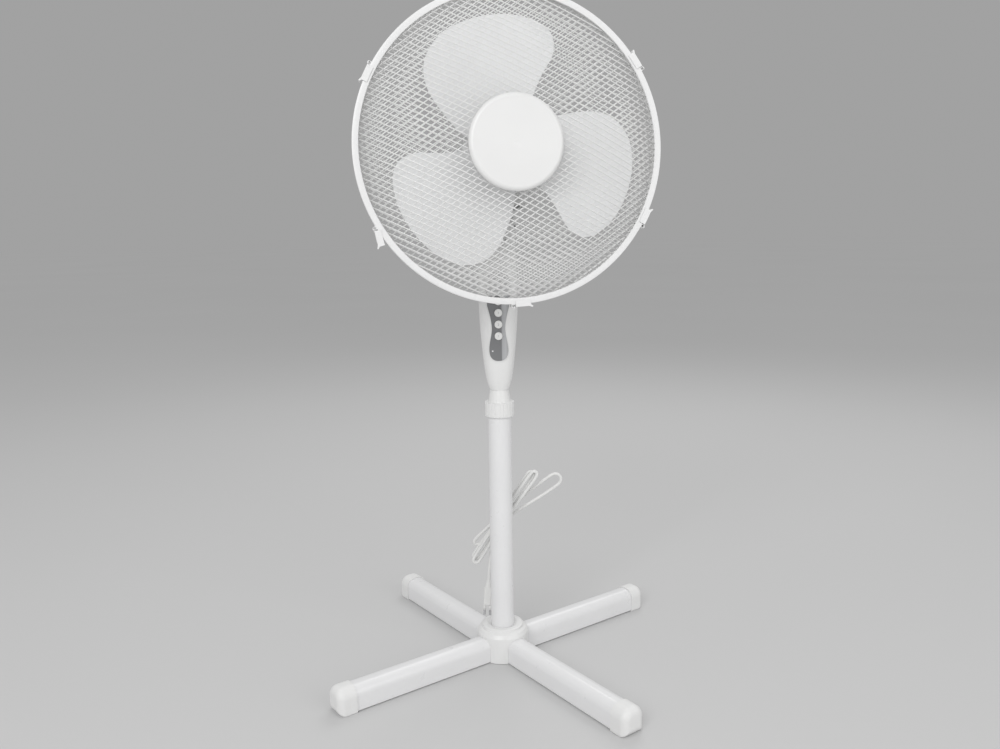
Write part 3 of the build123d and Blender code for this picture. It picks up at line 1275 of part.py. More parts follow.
# Each loop: angle, reach and half width of its lower end, then of its upper end
LOOPS = ((58, 84, 6.0, 55, 100, 6.0), (56, 80, 6.2, 57, 95, 6.2), (45, 62, 6.0, 36, 120, 11.5))


def hank_point(angle, reach, side, depth):
    """A point of the hank: out along an angle, to one side of it, at a depth behind the pole."""
    x = HANK_WAIST[0] + reach * cos(radians(angle)) - side * sin(radians(angle))
    z = HANK_WAIST[1] + reach * sin(radians(angle)) + side * cos(radians(angle))
    return (x, depth, z)


DROP = [
    tuple(GLAND_END),
    tuple(GLAND.from_local_coords((0, 0, GLAND_LENGTH + 16.0))),
    (2.0, GLAND_END.Y + 12.0, GLAND_END.Z - 42.0),
    (-2.0, GLAND_END.Y + 10.0, GLAND_END.Z - 88.0),
    (-1.0, GLAND_END.Y + 4.0, GLAND_END.Z - 137.0),
    (3.5, GLAND_END.Y - 4.0, GLAND_END.Z - 188.0),
]
HANK_LEAN = 50.0        # the hank's way through its tie
HANK = []
for turn_index, (low_angle, low, low_side, up_angle, up, up_side) in enumerate(LOOPS):
    depth = HANK_FIRST_Y + HANK_STEP * turn_index
    HANK += [
        hank_point(HANK_LEAN, 0, HANK_SIDE, depth),
        hank_point(low_angle, -low, low_side, depth),
        hank_point(low_angle, -low, -low_side, depth),
        hank_point(HANK_LEAN, 0, -HANK_SIDE, depth),
        hank_point(up_angle, up, -up_side, depth),
        hank_point(up_angle, up, up_side, depth),
    ]
last_depth = HANK_FIRST_Y + HANK_STEP * len(LOOPS)
TAIL = [
    hank_point(HANK_LEAN, 0, HANK_SIDE, last_depth),
    (-12.5, 48.0, 186.0),
    (-17.5, 42.0, 160.0),
    (-20.5, 32.5, 137.0),
    (-22.0, 28.0, 114.0),
]


def midway(a, b):
    """The middle of a run."""
    return tuple((p + q) / 2 for p, q in zip(a, b))


def cord_radii(points):
    """The largest bend that each corner's two runs leave room for."""
    radii = []
    for before, corner, after in zip(points, points[1:], points[2:]):
        first = Vector(*corner) - Vector(*before)
        second = Vector(*after) - Vector(*corner)
        half_turn = radians(first.get_angle(second)) / 2
        radii.append(0.45 * min(first.length, second.length) / tan(half_turn))
    return radii


def cord_tube(points):
    """A round cord along straight runs and the arcs between them."""
    radii = cord_radii(points)
    print("bends", [round(radius, 1) for radius in radii])
    with BuildPart() as piece:
        with BuildLine() as route:
            FilletPolyline(*points, radius=radii)
        with BuildSketch(Plane(origin=route.wire() @ 0, z_dir=route.wire() % 0)):
            Circle(CORD_RADIUS)
        sweep()
    return piece.part, route.wire()


def least_gap(wire):
    """The least gap between a cord's turns, measured on points a millimetre apart."""
    count = round(wire.length)
    points = [tuple(wire @ (index / count)) for index in range(count + 1)]
    fold = round(8 * CORD_RADIUS)
    apart = min(dist(a, b) for index, a in enumerate(points) for b in points[index + fold:])
    return apart - 2 * CORD_RADIUS


DROP_END = midway(DROP[-1], HANK[0])
TAIL_START = midway(HANK[-1], TAIL[0])
drop_tube, drop_wire = cord_tube(DROP + [DROP_END])
hank_tube, hank_wire = cord_tube([DROP_END] + HANK + [TAIL_START])
tail_tube, tail_wire = cord_tube([TAIL_START] + TAIL)
print("cord length", round(drop_wire.length + hank_wire.length + tail_wire.length, 1))
print("least gap between turns", round(least_gap(hank_wire), 2))
save(drop_tube, "cord_drop")
save(hank_tube, "cord_hank")
save(tail_tube, "cord_tail")

# Tie round the hank's middle
TIE_AXIS = Vector(cos(radians(HANK_LEAN)), 0, sin(radians(HANK_LEAN)))
TIE_FRONT = HANK_FIRST_Y - CORD_RADIUS - TIE_FACE
TIE_BACK = last_depth + CORD_RADIUS + TIE_FACE
TIE_HALF = HANK_SIDE + CORD_RADIUS + TIE_ROOM
TIE_PLANE = Plane(
    origin=Vector(HANK_WAIST[0], (TIE_FRONT + TIE_BACK) / 2, HANK_WAIST[1]),
    x_dir=(0, 1, 0),
    z_dir=TIE_AXIS,
)
with BuildPart() as hank_tie:
    with BuildSketch(TIE_PLANE):
        RectangleRounded(TIE_BACK - TIE_FRONT + 2 * TIE_THICKNESS, 2 * (TIE_HALF + TIE_THICKNESS), 4.0)
        RectangleRounded(TIE_BACK - TIE_FRONT, 2 * TIE_HALF, 4.0 - TIE_THICKNESS, mode=Mode.SUBTRACT)
    extrude(amount=TIE_WIDTH / 2, both=True)
save(hank_tie.part, "hank_tie")

# Flat two-pin plug at the cord's end
PLUG_END = Vector(*TAIL[-1])
PLUG_DOWN = (PLUG_END - Vector(*TAIL[-2])).normalized()
PLUG = Plane(origin=PLUG_END, x_dir=Vector(1, 0, 0) - PLUG_DOWN * PLUG_DOWN.X, z_dir=PLUG_DOWN)
with BuildPart() as mains_plug:
    with BuildSketch(PLUG):
        Circle(CORD_RADIUS + 0.8)
    with BuildSketch(PLUG.offset(PLUG_RELIEF)):
        Ellipse(PLUG_WIDTH / 2 - 1.5, PLUG_DEPTH / 2 - 0.3)
    loft()
    with BuildSketch(PLUG.offset(PLUG_RELIEF)):
        RectangleRounded(PLUG_WIDTH, PLUG_DEPTH, 3.5)
    extrude(amount=PLUG_BODY)
save(mains_plug.part, "mains_plug")

with BuildPart() as plug_pins:
    with BuildSketch(PLUG.offset(PLUG_RELIEF + PLUG_BODY)):
        with Locations((-PIN_SPACING / 2, 0), (PIN_SPACING / 2, 0)):
            Circle(PIN_RADIUS)
    extrude(amount=PIN_LENGTH)
save(plug_pins.part, "plug_pins")
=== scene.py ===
"""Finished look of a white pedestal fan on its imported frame.

Metres, +Z up. The origin is on the floor under the pole, and the control column faces -Y.
The named sizes are in millimetres and degrees, except those of the camera's place and the stage, in metres.
"""

import json
from math import asin, cos, pi, radians, sin, sqrt

import bmesh
import bpy
from mathutils import Matrix, Vector


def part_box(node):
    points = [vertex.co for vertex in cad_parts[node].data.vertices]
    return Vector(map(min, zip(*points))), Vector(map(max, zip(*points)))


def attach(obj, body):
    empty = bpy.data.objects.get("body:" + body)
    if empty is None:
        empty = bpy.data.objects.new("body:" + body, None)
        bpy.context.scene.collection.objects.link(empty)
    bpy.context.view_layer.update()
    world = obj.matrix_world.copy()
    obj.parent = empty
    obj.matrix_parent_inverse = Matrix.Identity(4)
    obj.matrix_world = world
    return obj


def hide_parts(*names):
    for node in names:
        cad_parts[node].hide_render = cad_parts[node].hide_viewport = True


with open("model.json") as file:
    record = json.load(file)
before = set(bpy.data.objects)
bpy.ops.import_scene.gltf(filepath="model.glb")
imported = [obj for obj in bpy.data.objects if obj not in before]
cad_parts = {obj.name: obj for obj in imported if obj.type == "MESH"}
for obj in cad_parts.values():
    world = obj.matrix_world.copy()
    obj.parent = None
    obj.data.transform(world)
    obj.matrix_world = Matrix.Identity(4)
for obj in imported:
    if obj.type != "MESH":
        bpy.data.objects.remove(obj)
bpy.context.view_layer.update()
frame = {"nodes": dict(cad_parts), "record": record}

MM = 0.001

# Camera
CAMERA_PLACE = (0.0, -1.3585, 0.6961)
CAMERA_LENS = 31.77
CAMERA_SENSOR = 36.0
CAMERA_YAW = -0.056
CAMERA_DOWN = 9.667
CAMERA_ROLL = -0.803

# Head at rest
PIVOT_Z = 689.8
FAN_HEIGHT = 102.0
TILT = 3.93
SWING = 9.4

# Mains cord
CORD_RADIUS = 2.6
GLAND_END = (0.0, 37.35, 468.04)
DROP = (GLAND_END, (0.0, 46.98, 455.26), (2.0, 49.35, 426.04), (-2.0, 47.35, 380.04), (-1.0, 41.35, 331.04),
        (3.5, 33.35, 280.04))
HANK_WAIST_Z = 217.0
HANK_LEAN = 50.0
HANK_SIDE = 3.4
HANK_FIRST_Y = 27.6
HANK_STEP = 6.6
# Each loop: angle, reach and half width of its lower end, then of its upper end
LOOPS = ((58, 84, 6.0, 55, 100, 6.0), (56, 80, 6.2, 57, 95, 6.2), (45, 62, 6.0, 36, 120, 11.5))
# Round end of a fold, as shares of its half width: how far back it begins, and its tip
FOLD_BACK = 1.2
FOLD_TIP = 0.55
TAIL = ((-12.5, 48.0, 186.0), (-17.5, 42.0, 160.0), (-20.5, 32.5, 137.0), (-22.0, 28.0, 114.0))
PLUG_LENGTH = 40.0
PIN_SPACING = 9.0
SLEEVE_RADIUS = 2.15
SLEEVE_LENGTH = 9.0
SLEEVE_SIDES = 24

# Guards
RING_PLANE = 117.0
RING_RADIUS = 215.0
RING_WIDTH = 14.0
RING_BAND = 8.8
RING_WALL = 1.5
RING_STEPS = 160
RIM_WIRE = 2.0
RIM_RADIUS = RING_RADIUS - RING_BAND + RIM_WIRE
RIM_SPACING = 6.4
RIM_SIDES = 8
RIM_STEPS = 96
GUARD_WIRE = 0.75
GUARD_PITCH = 7.5
GUARD_LAYER = 1.65
GUARD_SIDES = 6
GUARD_STEPS = 8
WIRE_REACH = RIM_RADIUS - RIM_WIRE
WIDEST_WIRE = 0.985 * WIRE_REACH
WIRE_ANGLES = (35.7, -24.9)
FRONT_DEPTH = 44.0
REAR_DEPTH = 54.6
SEAT_PLANE = 56.0
SEAT_RADIUS = 46.0
SEAT_RIM = 60.0
SEAT_THICKNESS = 1.5
SEAT_STEPS = 64
NOSE_RADIUS = 17.15
CLIP_HINGES = [30.3 + 60.0 * i for i in range(6)]
LUG_RADIUS = 2.5
LUG_WIDTH = 2.5
LUG_CIRCLE = 217.5
LUG_ROOT = 3.4
LUG_SIDES = 20

# Softened edges of the ring
EDGE_ROUNDING = 0.7
EDGE_STEPS = 3

# Control panel and buttons
PANEL_DARK = (0.195, 0.197, 0.203)
PANEL_PALE = (0.40, 0.405, 0.415)
PANEL_HALF_WIDTH = 18.0
PANEL_DOT = (-9.3, -23.6, 505.0)
PANEL_DOT_OUTER = 1.3
PANEL_DOT_INNER = 1.1
BUTTON_MARKS = {"button_low": "1", "button_medium": "2", "button_high": "3", "button_off": "0"}
MARK_SIZE = 5.2
MARK_RAISE = 0.02

# Fineness of the faint colour mottle and of the wear, in cycles to the metre
MOTTLE = 14.0
WEAR = 60.0
DRAWN_MARKS = 400.0
SHEET_BANDS = 320.0

# Stage
FLOOR_RADIUS = 30.0
FLOOR_SIDES = 96
FLOOR_TONES = (0.595, 0.605)
BACKGROUND_TONE = 0.36
SOFT_LIGHT = 0.6
# Each lamp: its place, what it aims at, its size and its power in watts
LAMPS = {
    "key_lamp": ((-0.9, -2.6, 2.0), (0.0, 0.0, 0.6), 1.6, 38.0),
    "fill_lamp": ((1.9, -2.0, 1.3), (0.0, 0.0, 0.5), 1.8, 14.0),
    "rim_lamp": ((0.5, 1.8, 2.3), (0.0, 0.0, 0.6), 1.6, 14.0),
}


def add_object(name, data):
    """Put a mesh, a curve, a camera or a lamp into the scene."""
    thing = bpy.data.objects.new(name, data)
    bpy.context.collection.objects.link(thing)
    return thing


def add_camera():
    """The camera, where the photograph was taken from."""
    data = bpy.data.cameras.new("camera")
    data.sensor_fit = "HORIZONTAL"
    data.sensor_width = CAMERA_SENSOR
    data.lens = CAMERA_LENS
    camera = add_object("camera", data)
    camera.matrix_world = (
        Matrix.Translation(CAMERA_PLACE)
        @ Matrix.Rotation(radians(CAMERA_YAW), 4, "Z")
        @ Matrix.Rotation(radians(90.0 - CAMERA_DOWN), 4, "X")
        @ Matrix.Rotation(radians(CAMERA_ROLL), 4, "Z")
    )
    bpy.context.scene.camera = camera


# Mains cord
def hank_point(angle, reach, side, depth):
    """A point of the hank: out along an angle, to one side of it, at a depth behind the pole."""
    lean = radians(angle)
    x = reach * cos(lean) - side * sin(lean)
    z = HANK_WAIST_Z + reach * sin(lean) + side * cos(lean)
    return (x, depth, z)


def cord_route():
    """The cord's points from the gland to the plug: a drop, the hank's loops and a tail."""
    route = list(DROP)
    depth = HANK_FIRST_Y
    for low_angle, low, low_side, up_angle, up, up_side in LOOPS:
        route += [
            hank_point(HANK_LEAN, 0, HANK_SIDE, depth),
            hank_point(low_angle, FOLD_BACK * low_side - low, low_side, depth),
            hank_point(low_angle, -low, FOLD_TIP * low_side, depth),
            hank_point(low_angle, -low, -FOLD_TIP * low_side, depth),
            hank_point(low_angle, FOLD_BACK * low_side - low, -low_side, depth),
            hank_point(HANK_LEAN, 0, -HANK_SIDE, depth),
            hank_point(up_angle, up - FOLD_BACK * up_side, -up_side, depth),
            hank_point(up_angle, up, -FOLD_TIP * up_side, depth),
            hank_point(up_angle, up, FOLD_TIP * up_side, depth),
            hank_point(up_angle, up - FOLD_BACK * up_side, up_side, depth),
        ]
        depth += HANK_STEP
    route.append(hank_point(HANK_LEAN, 0, HANK_SIDE, depth))
    return [Vector(point) * MM for point in route + list(TAIL)]


def add_pin_sleeves():
    """White sleeves over the upper half of the plug's pins."""
    end = Vector(TAIL[-1])
    down = (end - Vector(TAIL[-2])).normalized()
    across = (Vector((1.0, 0.0, 0.0)) - down * down.x).normalized()
    turn = Matrix((across, down.cross(across), down)).transposed().to_4x4()
    mesh = bmesh.new()
    for side in (-0.5, 0.5):
        middle = end + across * side * PIN_SPACING + down * (PLUG_LENGTH + SLEEVE_LENGTH / 2)
        place = Matrix.Translation(middle * MM) @ turn
        radius = SLEEVE_RADIUS * MM
        bmesh.ops.create_cone(
            mesh, cap_ends=True, segments=SLEEVE_SIDES, radius1=radius, radius2=radius,
            depth=SLEEVE_LENGTH * MM, matrix=place,
        )
    smooth(long_sides(mesh))
    return add_piece("pin_sleeves", mesh, "column", "white_cord")


def add_cord():
    """The mains cord as one smooth curve along its whole route."""
    route = cord_route()
    curve = bpy.data.curves.new("mains_cord", "CURVE")
    curve.dimensions = "3D"
    curve.resolution_u = 8
    curve.bevel_depth = CORD_RADIUS * MM
    curve.bevel_resolution = 3
    curve.use_fill_caps = True
    spline = curve.splines.new("NURBS")
    spline.points.add(len(route) - 1)
    for point, place in zip(spline.points, route):
        point.co = (*place, 1.0)
    spline.order_u = 3
    spline.use_endpoint_u = True
    curve.materials.append(FINISHES["white_cord"])
    cord = add_object("mains_cord", curve)
    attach(cord, "column")
    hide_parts("cord_drop", "cord_hank", "cord_tail")
    add_pin_sleeves()


# Finishes
def new_finish(name):
    """An empty finish: its nodes, its links and its shader."""
    finish = bpy.data.materials.new(name)
    finish.use_nodes = True
    tree = finish.node_tree
    tree.nodes.clear()
    shader = tree.nodes.new("ShaderNodeBsdfPrincipled")
    output = tree.nodes.new("ShaderNodeOutputMaterial")
    tree.links.new(shader.outputs["BSDF"], output.inputs["Surface"])
    return finish, tree.nodes, tree.links, shader


def place_on_piece(nodes):
    """Where a point lies on its piece, in metres."""
    return nodes.new("ShaderNodeTexCoord").outputs["Object"]


def noise(nodes, links, place, scale, detail=2.0):
    """Noise of a given fineness, in cycles to the metre."""
    texture = nodes.new("ShaderNodeTexNoise")
    texture.inputs["Scale"].default_value = scale
    texture.inputs["Detail"].default_value = detail
    links.new(place, texture.inputs["Vector"])
    return texture.outputs["Fac"]


def ramp(nodes, links, value, stops):
    """A colour for each value, from stops of place and colour."""
    node = nodes.new("ShaderNodeValToRGB")
    elements = node.color_ramp.elements
    while len(elements) < len(stops):
        elements.new(0.5)
    for element, (at, colour) in zip(elements, stops):
        element.position = at
        element.color = (*colour, 1.0)
    links.new(value, node.inputs["Fac"])
    return node.outputs["Color"]


def grey(level):
    """A neutral colour."""
    return (level, level, level)


def tint(colour, by):
    """A colour made a little lighter or darker."""
    return tuple(min(1.0, channel * by) for channel in colour)


def bump(nodes, links, shader, height, depth):
    """Raise the surface by a height between nought and one."""
    node = nodes.new("ShaderNodeBump")
    node.inputs["Strength"].default_value = 0.3
    node.inputs["Distance"].default_value = depth
    links.new(height, node.inputs["Height"])
    links.new(node.outputs["Normal"], shader.inputs["Normal"])


def coated(name, colour, roughness, grain, depth, coat=0.0):
    """Moulded plastic or paint: an even colour, faintly mottled, over a fine grain."""
    finish, nodes, links, shader = new_finish(name)
    place = place_on_piece(nodes)
    mottle = noise(nodes, links, place, MOTTLE)
    stops = ((0.3, tint(colour, 0.985)), (0.7, tint(colour, 1.01)))
    links.new(ramp(nodes, links, mottle, stops), shader.inputs["Base Color"])
    wear = noise(nodes, links, place, WEAR, 4.0)
    gloss = ((0.3, grey(roughness * 0.9)), (0.7, grey(roughness * 1.12)))
    links.new(ramp(nodes, links, wear, gloss), shader.inputs["Roughness"])
    bump(nodes, links, shader, noise(nodes, links, place, grain, 3.0), depth * MM)
    shader.inputs["Coat Weight"].default_value = coat
    shader.inputs["Coat Roughness"].default_value = 0.12
    return finish


def plated(name, colour, roughness, stretch):
    """Plated or drawn metal with faint marks along its length."""
    finish, nodes, links, shader = new_finish(name)
    place = place_on_piece(nodes)
    mapping = nodes.new("ShaderNodeMapping")
    mapping.inputs["Scale"].default_value = stretch
    links.new(place, mapping.inputs["Vector"])
    marks = noise(nodes, links, mapping.outputs["Vector"], DRAWN_MARKS, 4.0)
    stops = ((0.3, tint(colour, 0.93)), (0.7, tint(colour, 1.05)))
    links.new(ramp(nodes, links, marks, stops), shader.inputs["Base Color"])
    gloss = ((0.3, grey(roughness * 0.8)), (0.7, grey(roughness * 1.25)))
    links.new(ramp(nodes, links, marks, gloss), shader.inputs["Roughness"])
    shader.inputs["Metallic"].default_value = 1.0
    return finish


def stacked_sheet(name, colour):
    """Edges of a stack of thin steel sheets."""
    finish, nodes, links, shader = new_finish(name)
    mapping = nodes.new("ShaderNodeMapping")
    mapping.inputs["Rotation"].default_value = (radians(TILT), 0.0, radians(-SWING))
    links.new(place_on_piece(nodes), mapping.inputs["Vector"])
    wave = nodes.new("ShaderNodeTexWave")
    wave.bands_direction = "Y"
    wave.inputs["Scale"].default_value = SHEET_BANDS
    links.new(mapping.outputs["Vector"], wave.inputs["Vector"])
    stops = ((0.35, tint(colour, 0.55)), (0.65, tint(colour, 1.1)))
    links.new(ramp(nodes, links, wave.outputs["Fac"], stops), shader.inputs["Base Color"])
    bump(nodes, links, shader, wave.outputs["Fac"], 0.2 * MM)
    shader.inputs["Roughness"].default_value = 0.5
    shader.inputs["Metallic"].default_value = 0.7
    return finish


def two_tone_panel(name):
    """Control panel: dark grey with a paler strip down its right side and one white dot, the strip darkened
    at its right edge by painted shade of the gap round the panel.
    """
    finish, nodes, links, shader = new_finish(name)
    place = place_on_piece(nodes)
    axes = nodes.new("ShaderNodeSeparateXYZ")
    links.new(place, axes.inputs["Vector"])
    across = nodes.new("ShaderNodeMapRange")
    across.inputs["From Min"].default_value = -PANEL_HALF_WIDTH * MM
    across.inputs["From Max"].default_value = PANEL_HALF_WIDTH * MM
    links.new(axes.outputs["X"], across.inputs["Value"])
    # The strip is lighter towards its middle, then darker at its right edge: painted shade of the gap round
    # the panel
    strip_with_painted_edge_shade = (
        (0.0, PANEL_DARK), (0.625, PANEL_DARK), (0.645, PANEL_PALE), (0.8, tint(PANEL_PALE, 1.15)),
        (0.95, tint(PANEL_PALE, 0.8)),
    )
    tones = ramp(nodes, links, across.outputs["Result"], strip_with_painted_edge_shade)
    apart = nodes.new("ShaderNodeVectorMath")
    apart.operation = "DISTANCE"
    apart.inputs[1].default_value = Vector(PANEL_DOT) * MM
    links.new(place, apart.inputs[0])
    dot = nodes.new("ShaderNodeMapRange")
    dot.inputs["From Min"].default_value = PANEL_DOT_OUTER * MM
    dot.inputs["From Max"].default_value = PANEL_DOT_INNER * MM
    links.new(apart.outputs["Value"], dot.inputs["Value"])
    joined = nodes.new("ShaderNodeMix")
    joined.data_type = "RGBA"
    joined.inputs["B"].default_value = (*grey(0.8), 1.0)
    links.new(dot.outputs["Result"], joined.inputs["Factor"])
    links.new(tones, joined.inputs["A"])
    links.new(joined.outputs["Result"], shader.inputs["Base Color"])
    bump(nodes, links, shader, noise(nodes, links, place, 2600.0), 0.03 * MM)
    shader.inputs["Roughness"].default_value = 0.42
    return finish


def make_finishes():
    """Every finish of the fan, by the record's slot, and the grey of the button marks."""
    return {
        "white_gloss": coated("white_gloss", (0.80, 0.80, 0.795), 0.34, 1400.0, 0.02),
        "white_blade": coated("white_blade", (0.85, 0.853, 0.857), 0.46, 900.0, 0.03),
        "white_ring": coated("white_ring", (0.81, 0.81, 0.81), 0.28, 1200.0, 0.015),
        "white_wire": coated("white_wire", (0.83, 0.83, 0.825), 0.48, 2600.0, 0.04),
        "white_steel": coated("white_steel", (0.80, 0.80, 0.805), 0.3, 380.0, 0.02, coat=0.25),
        "white_cap": coated("white_cap", (0.79, 0.79, 0.785), 0.5, 2200.0, 0.05),
        "white_button": coated("white_button", (0.82, 0.82, 0.81), 0.25, 1500.0, 0.01),
        "grey_panel": two_tone_panel("grey_panel"),
        "dark_plastic": coated("dark_plastic", (0.045, 0.045, 0.05), 0.5, 2200.0, 0.05),
        "bright_steel": plated("bright_steel", (0.72, 0.72, 0.73), 0.18, (1.0, 1.0, 0.05)),
        "zinc_steel": plated("zinc_steel", (0.58, 0.59, 0.6), 0.38, (1.0, 0.2, 1.0)),
        "bronze": plated("bronze", (0.6, 0.42, 0.2), 0.4, (1.0, 1.0, 1.0)),
        "laminations": stacked_sheet("laminations", (0.25, 0.24, 0.23)),
        "white_cord": coated("white_cord", (0.78, 0.78, 0.77), 0.45, 1800.0, 0.03),
        "tie_wire": coated("tie_wire", (0.78, 0.78, 0.77), 0.5, 1800.0, 0.03),
        "mark_grey": coated("mark_grey", (0.42, 0.42, 0.43), 0.5, 1500.0, 0.01),
    }


# Pieces
def head_frame():
    """The fan's own frame: across, up and forwards from the spindle, in metres."""
    lift = radians(TILT)
    swing = radians(SWING)
    up = Vector((0.0, sin(lift), cos(lift)))
    forwards = Vector((sin(swing), -cos(swing) * cos(lift), cos(swing) * sin(lift)))
    across = up.cross(forwards)
    spindle = Vector((0.0, 0.0, PIVOT_Z)) * MM + up * FAN_HEIGHT * MM
    turn = Matrix((across, up, forwards)).transposed().to_4x4()
    return Matrix.Translation(spindle) @ turn


def add_piece(name, mesh, body, slot, *nodes):
    """Close a bmesh into a finished piece that rides on a body and stands for CAD nodes."""
    bmesh.ops.recalc_face_normals(mesh, faces=mesh.faces)
    data = bpy.data.meshes.new(name)
    mesh.to_mesh(data)
    mesh.free()
    data.materials.append(FINISHES[slot])
    piece = add_object(name, data)
    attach(piece, body)
    if nodes:
        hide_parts(*nodes)
    return piece


def smooth(faces):
    """Shade faces as one round surface."""
    for face in faces:
        face.smooth = True


def long_sides(mesh):
    """The four-sided faces, which lie along wires and sleeves."""
    return [face for face in mesh.faces if len(face.verts) == 4]


def edges_of(verts):
    """Every edge at some vertices, once each and in order."""
    return list(dict.fromkeys(edge for vert in verts for edge in vert.link_edges))


def spin_round(mesh, verts, edges, axis_frame, steps):
    """Spin an outline once round a frame's +Z, into a closed surface."""
    bmesh.ops.spin(
        mesh, geom=verts + edges, cent=axis_frame.translation, axis=axis_frame.col[2].xyz, dvec=(0, 0, 0),
        angle=2 * pi, steps=steps, use_merge=True, use_duplicate=False,
    )


def spun_outline(mesh, outline, axis_frame, steps, rounding=0.0):
    """Spin a closed half-section, given as radius and place along the axis in millimetres."""
    places = [axis_frame @ (Vector((radius, 0.0, along)) * MM) for radius, along in outline]
    corners = [mesh.verts.new(place) for place in places]
    edges = [mesh.edges.new((corners[i - 1], corners[i])) for i in range(len(corners))]
    if rounding:
        made = bmesh.ops.bevel(
            mesh,
            geom=corners + edges,
            offset=rounding * MM,
            offset_type="OFFSET",
            segments=EDGE_STEPS,
            profile=0.5,
            affect="VERTICES",
            material=-1,
        )
        kept = [vert for edge in edges if edge.is_valid for vert in edge.verts]
        corners = list(dict.fromkeys(kept + made["verts"]))
        edges = edges_of(corners)
    before = set(mesh.faces)
    spin_round(mesh, corners, edges, axis_frame, steps)
    return [face for face in mesh.faces if face not in before]


def rim_ring(mesh, plane):
    """A guard's rim wire."""
    place = Matrix.Translation(Vector((RIM_RADIUS, 0.0, plane)) * MM)
    section = HEAD @ place @ Matrix.Rotation(pi / 2, 4, "X")
    wire = bmesh.ops.create_circle(
        mesh, cap_ends=False, segments=RIM_SIDES, radius=RIM_WIRE * MM, matrix=section,
    )
    spin_round(mesh, wire["verts"], edges_of(wire["verts"]), HEAD, RIM_STEPS)


def mesh_wire(mesh, family, offset, centre, bend, start, end):
    """One wire of a guard's mesh: a round section spun along an arc."""
    arc_frame = family @ Matrix.Translation(Vector((0.0, offset, centre)) * MM)
    section = (
        arc_frame
        @ Matrix.Rotation(start, 4, "Y")
        @ Matrix.Translation((0.0, 0.0, bend * MM))
        @ Matrix.Rotation(pi / 2, 4, "Y")
    )
    wire = bmesh.ops.create_circle(
        mesh, cap_ends=True, segments=GUARD_SIDES, radius=GUARD_WIRE * MM, matrix=section,
    )
    verts = wire["verts"]
    faces = list(verts[0].link_faces)
    bmesh.ops.spin(
        mesh, geom=verts + edges_of(verts) + faces, cent=arc_frame.translation, axis=arc_frame.col[1].xyz,
        dvec=(0, 0, 0), angle=end - start, steps=GUARD_STEPS, use_merge=False, use_duplicate=False,
    )


def dome_radius(depth):
    """Radius of the dome on which a guard of some depth lies."""
    return (WIRE_REACH**2 + depth**2) / (2 * depth)


def guard_mesh(mesh, rim_plane, depth, front, opening):
    """Both families of a guard's wires, laid over its dome and kept out of an opening."""
    sense = 1.0 if front else -1.0
    dome = dome_radius(depth)
    centre = rim_plane + sense * (depth - dome)
    rows = int(WIDEST_WIRE / GUARD_PITCH)
    for index, angle in enumerate(WIRE_ANGLES):
        radius = dome + (index - 0.5) * GUARD_LAYER
        family = HEAD @ Matrix.Rotation(radians(angle), 4, "Z")
        for row in range(-rows, rows + 1):
            offset = (row + 0.5 * index) * GUARD_PITCH
            if abs(offset) > WIDEST_WIRE:
                continue
            bend = sqrt(radius**2 - offset**2)
            far = asin(sqrt(WIRE_REACH**2 - offset**2) / bend)
            spans = [(-far, far)]
            if abs(offset) < opening:
                near = asin(sqrt(opening**2 - offset**2) / bend)
                spans = [(-far, -near), (near, far)]
            for start, end in spans:
                if front:
                    mesh_wire(mesh, family, offset, centre, bend, start, end)
                else:
                    mesh_wire(mesh, family, offset, centre, bend, pi - start, pi - end)


def add_front_guard():
    """Front guard: the mesh and its rim."""
    mesh = bmesh.new()
    plane = RING_PLANE + RIM_SPACING / 2
    guard_mesh(mesh, plane, FRONT_DEPTH, True, 0.0)
    rim_ring(mesh, plane)
    smooth(long_sides(mesh))
    add_piece("front_guard_wires", mesh, "head", "white_wire", "front_guard")


def add_rear_guard():
    """Rear guard: the mesh, its rim and the pressed plate that sits on the motor."""
    mesh = bmesh.new()
    plane = RING_PLANE - RIM_SPACING / 2
    guard_mesh(mesh, plane, REAR_DEPTH, False, SEAT_RIM)
    rim_ring(mesh, plane)
    dome = dome_radius(REAR_DEPTH)
    edge = plane - REAR_DEPTH + dome - sqrt(dome**2 - SEAT_RIM**2)
    plate = (
        (NOSE_RADIUS, SEAT_PLANE),
        (SEAT_RADIUS, SEAT_PLANE),
        (SEAT_RIM, edge - SEAT_THICKNESS),
        (SEAT_RIM, edge + SEAT_THICKNESS),
        (SEAT_RADIUS, SEAT_PLANE + SEAT_THICKNESS),
        (NOSE_RADIUS, SEAT_PLANE + SEAT_THICKNESS),
    )
    spun_outline(mesh, plate, HEAD, SEAT_STEPS)
    smooth(long_sides(mesh))
    add_piece("rear_guard_wires", mesh, "head", "white_wire", "rear_guard")


